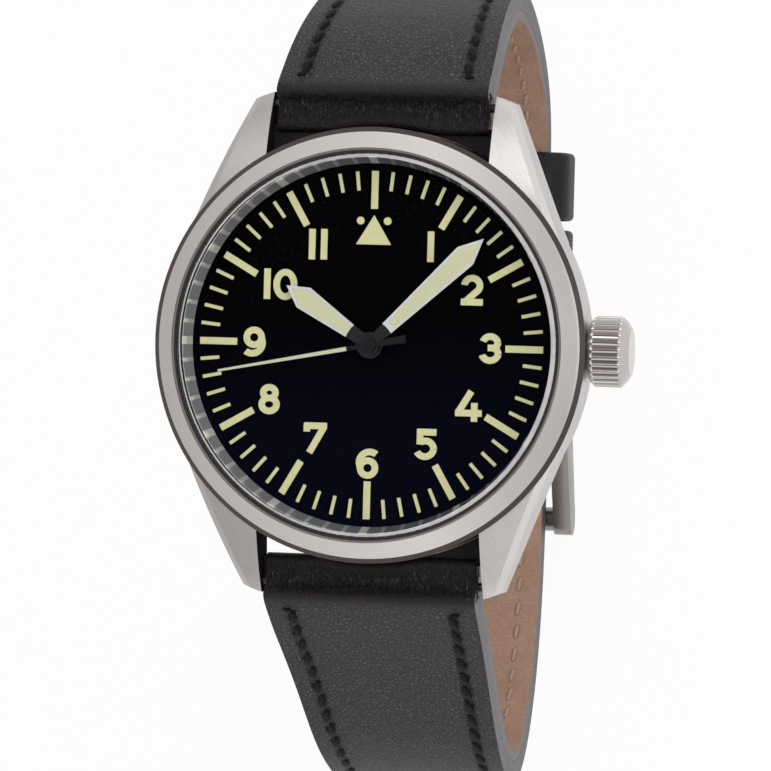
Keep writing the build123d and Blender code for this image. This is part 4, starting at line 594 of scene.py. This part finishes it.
def object_from(bm, name, body, materials):
    """Make a piece of a finished mesh, outside out, and let it ride on a body."""
    bmesh.ops.recalc_face_normals(bm, faces=bm.faces)
    closed = all(edge.is_manifold for edge in bm.edges)
    if closed and bm.calc_volume(signed=True) < 0:
        bmesh.ops.reverse_faces(bm, faces=bm.faces)
    mesh = bpy.data.meshes.new(name)
    bm.to_mesh(mesh)
    bm.free()
    mesh.shade_smooth()
    piece = bpy.data.objects.new(name, mesh)
    bpy.context.collection.objects.link(piece)
    for finish in materials:
        mesh.materials.append(finish.material)
    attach(piece, body)
    return piece


def round_edges(piece, width):
    """Round a piece's sharp edges."""
    bevel = piece.modifiers.new("rounded_edges", "BEVEL")
    bevel.width = width * MM
    bevel.segments = 3
    bevel.limit_method = "ANGLE"
    bevel.angle_limit = math.radians(40)
    bevel.harden_normals = True


def pierce(bm, openings):
    """Punch round-ended openings through a flat layer, each a middle, a width and a length."""
    punch_overrun = 1
    holes = bmesh.new()
    for middle, width, length in openings:
        made = bmesh.ops.create_grid(holes, x_segments=1, y_segments=1, size=0.5)
        bmesh.ops.scale(holes, vec=(width, length, 1), verts=made["verts"])
        bmesh.ops.translate(
            holes, vec=(0, middle, -lug_thickness - punch_overrun), verts=made["verts"]
        )
        bmesh.ops.bevel(
            holes,
            geom=made["verts"],
            offset=0.499 * width,
            affect="VERTICES",
            segments=6,
            profile=0.5,
            material=-1,
        )
    raised = bmesh.ops.extrude_face_region(holes, geom=holes.faces[:], use_keep_orig=True)
    roof = [item for item in raised["geom"] if isinstance(item, bmesh.types.BMVert)]
    bmesh.ops.translate(holes, vec=(0, 0, lug_thickness + 2 * punch_overrun), verts=roof)
    bmesh.ops.recalc_face_normals(holes, faces=holes.faces)
    sheets = []
    for shape in (bm, holes):
        mesh = bpy.data.meshes.new("flat_sheet")
        shape.to_mesh(mesh)
        shape.clear()
        sheets.append(bpy.data.objects.new("flat_sheet", mesh))
        bpy.context.collection.objects.link(sheets[-1])
    holes.free()
    cut = sheets[0].modifiers.new("openings", "BOOLEAN")
    cut.operation = "DIFFERENCE"
    cut.object = sheets[1]
    bpy.context.view_layer.update()
    punched = sheets[0].evaluated_get(bpy.context.evaluated_depsgraph_get())
    bm.from_mesh(punched.to_mesh())
    punched.to_mesh_clear()
    for sheet in sheets:
        bpy.data.meshes.remove(sheet.data)


def strap_layer(half, name, finishes, start, end, upper, lower, openings, tip=None):
    """One layer of a strap half: cut flat, punched, marked with its flat measure, then bent."""
    rows = [length for length in half.lengths if start < length < end]
    rows = [start, *rows, end]
    steps = len(rows) - 1
    bm = bmesh.new()
    bmesh.ops.create_grid(bm, x_segments=strap_columns, y_segments=steps, size=1)
    sheet = bmesh.ops.extrude_face_region(bm, geom=bm.faces[:], use_keep_orig=True)
    under = [item for item in sheet["geom"] if isinstance(item, bmesh.types.BMVert)]
    bmesh.ops.translate(bm, vec=(0, 0, -1), verts=under)
    for vert in bm.verts:
        length = rows[round((vert.co.y + 1) / 2 * steps)]
        depth = lower(length) if vert.co.z < -0.5 else upper(length)
        vert.co = Vector((vert.co.x * strap_half_width, length, -depth))
    bmesh.ops.recalc_face_normals(bm, faces=bm.faces)
    pierce(bm, openings)
    flat = bm.loops.layers.uv.new("flat")
    for face in bm.faces:
        side_face = abs(face.normal.z) < 0.5
        face.material_index = 1 if side_face else 0
        for corner in face.loops:
            across, length, height = corner.vert.co
            corner[flat].uv = ((height if side_face else across) * MM, length * MM)
    for vert in bm.verts:
        across, length, height = vert.co
        place, _, _ = half.frame_at(length)
        share = half.width_share(place)
        if tip and place.y < half.level + 1:
            to_tip = max(half.side * (place.x - tip) / strap_half_width, 0.0)
            share = min(share, math.sqrt(max(1 - (1 - min(to_tip, 1)) ** 2, 0.0004)))
        vert.co = half.bend(across * share, length, -height)
    return object_from(bm, name, "case", finishes)


def black_leather():
    """Grained black calf: pebbled, pressed smooth at the fold, drawn down by the stitches, with
    painted shade in its creases, in the groove at the fold and along the stitch line.
    """
    hide = Finish("black_strap_leather", srgb(66, 63, 66), 0.55, specular=0.2)
    flat = hide.space((1, 1, 1), source="UV")
    across = hide.sum("ABSOLUTE", hide.part(flat, "X"))
    along = hide.part(flat, "Y")
    body_part = hide.spread(along, -0.6, 0.9)
    pebbles = hide.cells(hide.space((0.44, 0.56, 1), source="UV"))
    fine = hide.noise(hide.space((0.16, 0.2, 1), source="UV"), detail=4, distortion=0.8)
    cloud = hide.noise(hide.space((3.5, 3.5, 3.5)), detail=3)
    crease = hide.sum(
        "MULTIPLY", hide.spread(pebbles, 0.0, 0.36), hide.spread(fine, 0.36, 0.62, 0.1, 1.0)
    )
    groove = hide.sum("MULTIPLY", hide.spread(along, -3.6, -3.1), hide.spread(along, -1.3, -2.0))
    wrinkles = hide.noise(hide.space((0.16, 0.34, 1), source="UV"), detail=4, distortion=1.2)
    wrinkles = hide.spread(wrinkles, 0.42, 0.62)
    from_seam = hide.sum("ABSOLUTE", hide.sum("SUBTRACT", across, stitch_line))
    seam = hide.spread(from_seam, 0.66, 0.3)
    seam = hide.sum("MULTIPLY", seam, hide.spread(along, stitch_start - 0.3, stitch_start))
    pull = hide.sum("COSINE", hide.sum("MULTIPLY", along, math.tau / stitch_pitch))
    seam = hide.sum("MULTIPLY", seam, hide.spread(pull, -1, 1, 0.6, 1.0))
    grain = hide.sum("MULTIPLY", crease, hide.spread(body_part, 0, 1, 0.2, 1))
    height = hide.sum("SUBTRACT", grain, hide.sum("MULTIPLY", seam, 1.4))
    folded = hide.sum("MULTIPLY", wrinkles, hide.spread(groove, 0, 1, 0.25, 1))
    folded = hide.sum("MULTIPLY", folded, hide.spread(body_part, 1, 0))
    height = hide.sum("ADD", height, folded)
    hide.relief(height, 0.36)
    # Painted shade: the creases between the pebbles are painted nearly black, over their relief.
    pebble_tone_with_crease_shade = hide.vary_colour(crease, srgb(3, 2, 3), srgb(138, 132, 137))
    body_cloud = hide.spread(cloud, 0.35, 0.75, 0, 0.25)
    body_tone = hide.vary_colour(body_cloud, pebble_tone_with_crease_shade, srgb(56, 52, 56))
    # Painted shade: the wrinkled groove at the fold is painted darker, over its real wrinkles.
    groove_shade_tone = hide.vary_colour(wrinkles, srgb(16, 13, 15), srgb(76, 70, 74))
    roll_tone = hide.vary_colour(wrinkles, srgb(34, 29, 31), srgb(48, 42, 45))
    fold_tone = hide.vary_colour(groove, roll_tone, groove_shade_tone)
    mixed = hide.vary_colour(body_part, fold_tone, body_tone)
    # Painted shade: the leather drawn down along the stitch line is painted darker.
    hide.vary_colour(hide.spread(seam, 0.2, 0.7), mixed, srgb(20, 17, 19))
    hide.vary_roughness(hide.sum("MULTIPLY", cloud, crease), 0.42, 0.65)
    return hide


def painted_edge(name, dark, pale):
    """The cut edge of a strap: fibres sealed with paint and rubbed along the strap."""
    edge = Finish(name, pale, 0.42, specular=0.4)
    streaks = edge.noise(edge.space((0.16, 6, 1), source="UV"), detail=5, roughness=0.7)
    edge.vary_colour(edge.spread(streaks, 0.38, 0.62), dark, pale)
    edge.vary_roughness(streaks, 0.35, 0.6)
    edge.relief(streaks, 0.05)
    return edge


def tan_leather():
    """Smooth tan lining leather, lightly grained and darkened in clouds by wear."""
    hide = Finish("tan_lining_leather", srgb(176, 142, 122), 0.55, specular=0.3)
    pores = hide.noise(hide.space((0.22, 0.22, 0.22)), detail=4)
    cloud = hide.noise(hide.space((3, 3, 3)), detail=4)
    pore_share = hide.spread(pores, 0.3, 0.7)
    pore_tone = hide.vary_colour(pore_share, srgb(168, 134, 114), srgb(194, 160, 140))
    hide.vary_colour(hide.spread(cloud, 0.35, 0.75, 0, 0.45), pore_tone, srgb(150, 114, 96))
    hide.vary_roughness(pores, 0.48, 0.65)
    hide.relief(pores, 0.05)
    return hide


stitch_line = 7.7
stitch_start = 1.1
stitch_pitch = 2.6
buckle_pivot_reach = -5.0
tail_tip_reach = 17.5
top_level = -44.5
tail_level = -47.4
layer_gap = 0.03
buckle_bar_height = -43.4
buckle_roll_radius = 1.5
turned_end = [(-3.9, -44.62), (-4.5, -44.8)]
turn_steps = 15
for step in range(turn_steps):
    angle = math.radians(270 - 15 * step)
    out = buckle_pivot_reach + buckle_roll_radius * math.cos(angle)
    turned_end.append((out, buckle_bar_height + buckle_roll_radius * math.sin(angle)))
turned_end += [(-3.6, -42.25), (-2.6, -42.25)]
top_half = StrapHalf(1, top_share, 12.2, top_level, -3.2, turned_end)
bottom_half = StrapHalf(-1, bottom_share, 20.0, tail_level, tail_tip_reach)
tongue_slot_width = 2.3
tongue_slot_start = top_half.flat_length - 1.2
tongue_slot_length = top_half.lengths[-1] - top_half.flat_length + 4
tongue_slot_middle = tongue_slot_start + tongue_slot_length / 2
top_openings = [(tongue_slot_middle, tongue_slot_width, tongue_slot_length)]
tail_hole = 1.8
tail_openings = [
    (bottom_half.flat_length - tail_tip_reach + reach, width, length)
    for reach, width, length in (
        (-6.3, tongue_slot_width, 5.8),
        (-13.8, tail_hole, tail_hole),
        (0.2, tail_hole, tail_hole),
        (7.2, tail_hole, tail_hole),
    )
]
strap_hide = black_leather()
lining_hide = tan_leather()
grey_edge = painted_edge("grey_painted_edge", srgb(40, 36, 40), srgb(98, 92, 96))
lining_edge = painted_edge("lining_painted_edge", srgb(60, 54, 57), srgb(110, 103, 106))
for half, place, tip, openings in (
    (top_half, "top", None, top_openings),
    (bottom_half, "bottom", tail_tip_reach, tail_openings),
):

    def leather_depth(length, half=half):
        whole = half.thickness(length) - lining_thickness
        turn = half.flat_length
        depths = [(0.0, fold_thickness), (1.4, whole), (turn, whole), (turn + 2, turned_thickness)]
        return between(depths, length)

    def lining_depth(length, half=half):
        return half.thickness(length) - lining_thickness + layer_gap

    cover = strap_layer(
        half,
        f"strap_{place}_cover",
        (strap_hide, grey_edge),
        half.lengths[0],
        half.lengths[-1],
        lambda length: 0.0,
        leather_depth,
        openings,
        tip,
    )
    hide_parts(f"strap_{place}_leather")
    inside = strap_layer(
        half,
        f"strap_{place}_inside",
        (lining_hide, lining_edge),
        lining_start,
        half.flat_length,
        lining_depth,
        half.thickness,
        openings,
        tip,
    )
    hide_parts(f"strap_{place}_lining")
    round_edges(cover, 0.3)
    round_edges(inside, 0.2)

# The skived flaps: the fold's thin inner end at each strap half, drawn in against the round of
# the case. The lower one is cut away towards nine o'clock.


def keeper_leather():
    """Smooth black leather with a dull shine and fine pores."""
    hide = Finish("keeper_leather", srgb(34, 32, 36), 0.6, specular=0.12)
    pores = hide.noise(hide.space((0.25, 0.25, 0.25)), detail=4)
    cloud = hide.noise(hide.space((2.5, 2.5, 2.5)), detail=3)
    pore_tone = hide.vary_colour(hide.spread(pores, 0.3, 0.7), srgb(24, 23, 26), srgb(38, 36, 40))
    hide.vary_colour(hide.spread(cloud, 0.35, 0.7, 0, 0.4), pore_tone, srgb(44, 42, 46))
    hide.vary_roughness(pores, 0.38, 0.55)
    hide.relief(pores, 0.06)
    return hide


keeper_hide = keeper_leather()
flap_thickness = 0.7
flap_height = 2.0
flap_end_reach = 19.7
flap_case_radius = 19.56
flap_half_width = 10.17
flap_start = -3.5
for side, place, first in ((1, "top", -flap_half_width), (-1, "bottom", flap_start)):
    bm = bmesh.new()
    bmesh.ops.create_grid(bm, x_segments=strap_columns, y_segments=6, size=1)
    bm.loops.layers.uv.new("flat")
    for vert in bm.verts:
        across = first + (flap_half_width - first) * (vert.co.x + 1) / 2
        near = math.sqrt(flap_case_radius**2 - across**2)
        reach = near + (flap_end_reach - near) * (vert.co.y + 1) / 2
        vert.co = Vector((across, side * reach, flap_height)) * MM
    flap = object_from(bm, f"strap_{place}_flap", "case", (keeper_hide,))
    flap_wall = flap.modifiers.new("flap_thickness", "SOLIDIFY")
    flap_wall.thickness = flap_thickness * MM
    flap_wall.offset = 0
    round_edges(flap, 0.2)

# The stitching: waxed black thread, each stitch a little aslant and drawn into the leather. On
# the lining the second thread of the seam shows as shorter, thinner, pale stitches.


def twisted_thread(name, dark, pale):
    """Two-ply waxed thread."""
    thread = Finish(name, pale, 0.6, specular=0.15)
    wave = thread.nodes.new("ShaderNodeTexWave")
    wave.bands_direction = "DIAGONAL"
    wave.inputs["Scale"].default_value = 1.4
    thread.links.new(thread.space((1000, 160, 1000), source="UV"), wave.inputs["Vector"])
    thread.vary_colour(wave.outputs["Fac"], dark, pale)
    thread.vary_roughness(wave.outputs["Fac"], 0.75, 0.55)
    thread.relief(wave.outputs["Fac"], 0.06)
    return thread


stitch_length = 2.6
stitch_half_width = 0.36
stitch_slant = 9
lock_stitch_length = 1.0
lock_stitch_shift = 0.3
outer_stitch_depth = 0.08
inner_stitch_share = 0.65
inner_stitch_lift = 0.04


def row_of_stitches(half, name, finish, face_depth, share, end):
    """Both rows of stitches on one face of a strap half, each locked by a short cross stitch."""
    bm = bmesh.new()
    bm.loops.layers.uv.new("thread")
    count = int((end - stitch_start) / stitch_pitch)
    half_length = stitch_length * share / 2
    stitches = [
        (stitch_start + (number + 0.5) * stitch_pitch, 0.0, stitch_slant, half_length)
        for number in range(count)
    ]
    stitches.append((stitch_start, lock_stitch_shift, 90, lock_stitch_length / 2))
    for side in (-1, 1):
        for length, shift, slant, reach in stitches:
            place, along, outward = half.frame_at(length)
            across = side * (stitch_line + shift) * half.width_share(place)
            centre = half.bend(across, length, face_depth(length))
            along = Vector((0, along.x, along.y))
            outward = Vector((0, outward.x, outward.y))
            turn = Matrix.Rotation(math.radians(slant * side), 3, outward)
            axes = Matrix((along.cross(outward), along, outward)).transposed()
            size = (stitch_half_width * share, reach, stitch_half_width * share * 0.8)
            shape = (turn @ axes).to_4x4() @ Matrix.Diagonal((*(s * MM for s in size), 1))
            bmesh.ops.create_uvsphere(
                bm,
                u_segments=8,
                v_segments=6,
                radius=1,
                matrix=Matrix.Translation(centre) @ shape,
                calc_uvs=True,
            )
    return object_from(bm, name, "case", (finish,))


black_thread = twisted_thread("black_waxed_thread", srgb(3, 2, 3), srgb(18, 15, 17))
pale_thread = twisted_thread("pale_thread", srgb(222, 184, 154), srgb(242, 210, 186))
for half, place, end in (
    (top_half, "top", top_half.flat_length - 4),
    (bottom_half, "bottom", bottom_half.flat_length - 12),
):
    row_of_stitches(
        half,
        f"strap_{place}_stitches",
        black_thread,
        lambda length: outer_stitch_depth,
        1,
        end,
    )
    row_of_stitches(
        half,
        f"strap_{place}_inner_stitches",
        pale_thread,
        lambda length, half=half: half.thickness(length) + inner_stitch_lift,
        inner_stitch_share,
        end,
    )

# The keepers: two loops of black leather, their joint under the strap. The first is sewn to the
# short strap end, and the second slides along the strap.
keeper_wall = 1.6
keeper_corner = 3.2
keeper_rounding = 0.5


def keeper_loop(node, name, body):
    """A leather band bent round both strap halves, with rounded corners and edges."""
    low, high = (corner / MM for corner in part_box(node))
    bm = bmesh.new()
    bmesh.ops.create_grid(bm, x_segments=1, y_segments=1, size=1)
    upright = Matrix.Rotation(math.pi / 2, 3, "X")
    bmesh.ops.rotate(bm, cent=(0, 0, 0), matrix=upright, verts=bm.verts)
    middle = (low + high) / 2
    half_size = (high - low) / 2
    bmesh.ops.scale(bm, vec=(half_size.x, 1, half_size.z), verts=bm.verts)
    bmesh.ops.bevel(
        bm,
        geom=bm.verts[:],
        offset=keeper_corner,
        affect="VERTICES",
        segments=6,
        profile=0.5,
        material=-1,
    )
    rim = bm.edges[:]
    bmesh.ops.delete(bm, geom=bm.faces[:], context="FACES_ONLY")
    bmesh.ops.translate(bm, vec=(middle.x, low.y, middle.z), verts=bm.verts)
    bands = 8
    for _ in range(bands):
        grown = bmesh.ops.extrude_edge_only(bm, edges=rim)
        rim = [item for item in grown["geom"] if isinstance(item, bmesh.types.BMEdge)]
        rim = [
            edge for edge in rim if edge.is_boundary and edge.verts[0].co.y == edge.verts[1].co.y
        ]
        ends = {vert for edge in rim for vert in edge.verts}
        bmesh.ops.translate(bm, vec=(0, (high.y - low.y) / bands, 0), verts=list(ends))
    bmesh.ops.scale(bm, vec=(MM, MM, MM), verts=bm.verts)
    piece = object_from(bm, name, body, (keeper_hide,))
    wall = piece.modifiers.new("leather_wall", "SOLIDIFY")
    wall.thickness = keeper_wall * MM
    wall.offset = -1
    round_edges(piece, keeper_rounding)
    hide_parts(node)


keeper_loop("fixed_keeper", "sewn_keeper_loop", "case")
keeper_loop("free_keeper", "sliding_keeper_loop", "free_loop")

# The buckle: a satin steel frame and a bent tongue, both cast and turning on one bar in the
# short strap end. Their edges are tumbled round.
buckle_steel, _ = satin_steel("satin_buckle_steel", srgb(150, 146, 144), (0.06, 2.4, 2.4), 0)
for node, name, body, edge in (
    ("buckle_frame", "buckle_frame_rounded", "buckle", 0.65),
    ("buckle_tongue", "buckle_tongue_rounded", "tongue", 0.2),
):
    bm = bmesh.new()
    bm.from_mesh(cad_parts[node].data)
    bmesh.ops.remove_doubles(bm, verts=bm.verts, dist=1e-6)
    piece = object_from(bm, name, body, (buckle_steel,))
    round_edges(piece, edge)
    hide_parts(node)

# The room: a pale floor far behind the dial, soft light from every side with more from the
# right, and the camera in front of the dial, a little towards three o'clock.


def background_share(nodes, links):
    """One where the camera, a reflection or a clear piece looks, and nothing for soft light."""
    path = nodes.new("ShaderNodeLightPath")
    share = path.outputs["Is Camera Ray"]
    for name in ("Is Glossy Ray", "Is Transmission Ray"):
        node = nodes.new("ShaderNodeMath")
        node.operation = "MAXIMUM"
        links.new(share, node.inputs[0])
        links.new(path.outputs[name], node.inputs[1])
        share = node.outputs["Value"]
    return share


floor_drop = 0.002
floor_half_width = 3
floor_glow = 0.93
bm = bmesh.new()
bmesh.ops.create_grid(bm, x_segments=1, y_segments=1, size=floor_half_width)
bmesh.ops.translate(bm, vec=(0, 0, cad_box[0][2] - floor_drop), verts=bm.verts)
floor_mesh = bpy.data.meshes.new("floor")
bm.to_mesh(floor_mesh)
bm.free()
floor = bpy.data.objects.new("floor", floor_mesh)
bpy.context.collection.objects.link(floor)
floor_paper = Finish("white_paper", srgb(252, 252, 252), 0.9, specular=0.0)
paper_glow = floor_paper.nodes.new("ShaderNodeEmission")
paper_mix = floor_paper.nodes.new("ShaderNodeMixShader")
paper_share = background_share(floor_paper.nodes, floor_paper.links)
paper_share = floor_paper.sum("MULTIPLY", paper_share, floor_glow)
floor_paper.links.new(paper_share, paper_mix.inputs["Fac"])
floor_paper.links.new(floor_paper.shader.outputs["BSDF"], paper_mix.inputs[1])
floor_paper.links.new(paper_glow.outputs["Emission"], paper_mix.inputs[2])
floor_paper.links.new(
    paper_mix.outputs["Shader"], floor_paper.nodes["Material Output"].inputs["Surface"]
)
floor_mesh.materials.append(floor_paper.material)

world = bpy.data.worlds.new("studio")
bpy.context.scene.world = world
world.use_nodes = True
sky = world.node_tree.nodes["Background"]
sky.inputs["Color"].default_value = (1, 1, 1, 1)
soft_light = 0.6
sky_strength = world.node_tree.nodes.new("ShaderNodeMapRange")
sky_strength.inputs["To Min"].default_value = soft_light
sky_strength.inputs["To Max"].default_value = 1.0
world.node_tree.links.new(
    background_share(world.node_tree.nodes, world.node_tree.links), sky_strength.inputs["Value"]
)
world.node_tree.links.new(sky_strength.outputs["Result"], sky.inputs["Strength"])


def soft_lamp(name, place, size, power):
    """A large soft lamp aimed at the watch."""
    lamp = bpy.data.lights.new(name, "AREA")
    lamp.shape = "SQUARE"
    lamp.size = size
    lamp.energy = power
    piece = bpy.data.objects.new(name, lamp)
    piece.location = place
    piece.rotation_euler = (-Vector(place)).to_track_quat("-Z", "Y").to_euler()
    bpy.context.collection.objects.link(piece)


soft_lamp("top_lamp", (0.1, 0.5, 0.55), 0.45, 1.1)
soft_lamp("right_lamp", (0.45, 0.05, 0.35), 0.35, 0.8)
soft_lamp("left_lamp", (-0.5, -0.2, 0.5), 0.4, 0.2)

camera_distance = 0.6
camera_yaw = math.radians(10.24)
camera_pitch = math.radians(0.52)
camera_roll = math.radians(1.55)
aim = Vector((0, 0, 0.00695))
towards_camera = Vector(
    (
        math.sin(camera_yaw) * math.cos(camera_pitch),
        math.sin(camera_pitch),
        math.cos(camera_yaw) * math.cos(camera_pitch),
    )
)
level_right = Vector((0, 1, 0)).cross(towards_camera).normalized()
level_up = towards_camera.cross(level_right)
camera_right = math.cos(camera_roll) * level_right + math.sin(camera_roll) * level_up
camera_up = math.cos(camera_roll) * level_up - math.sin(camera_roll) * level_right
lens = bpy.data.cameras.new("camera")
lens.sensor_width = 36
lens.lens = 312.1
lens.shift_x = 0.0206
lens.shift_y = -0.0523
lens.clip_start = 0.01
camera = bpy.data.objects.new("camera", lens)
camera.matrix_world = Matrix.Translation(aim + towards_camera * camera_distance) @ (
    Matrix((camera_right, camera_up, towards_camera)).transposed().to_4x4()
)
bpy.context.collection.objects.link(camera)
bpy.context.scene.camera = camera
bpy.context.scene.view_settings.view_transform = "Standard"
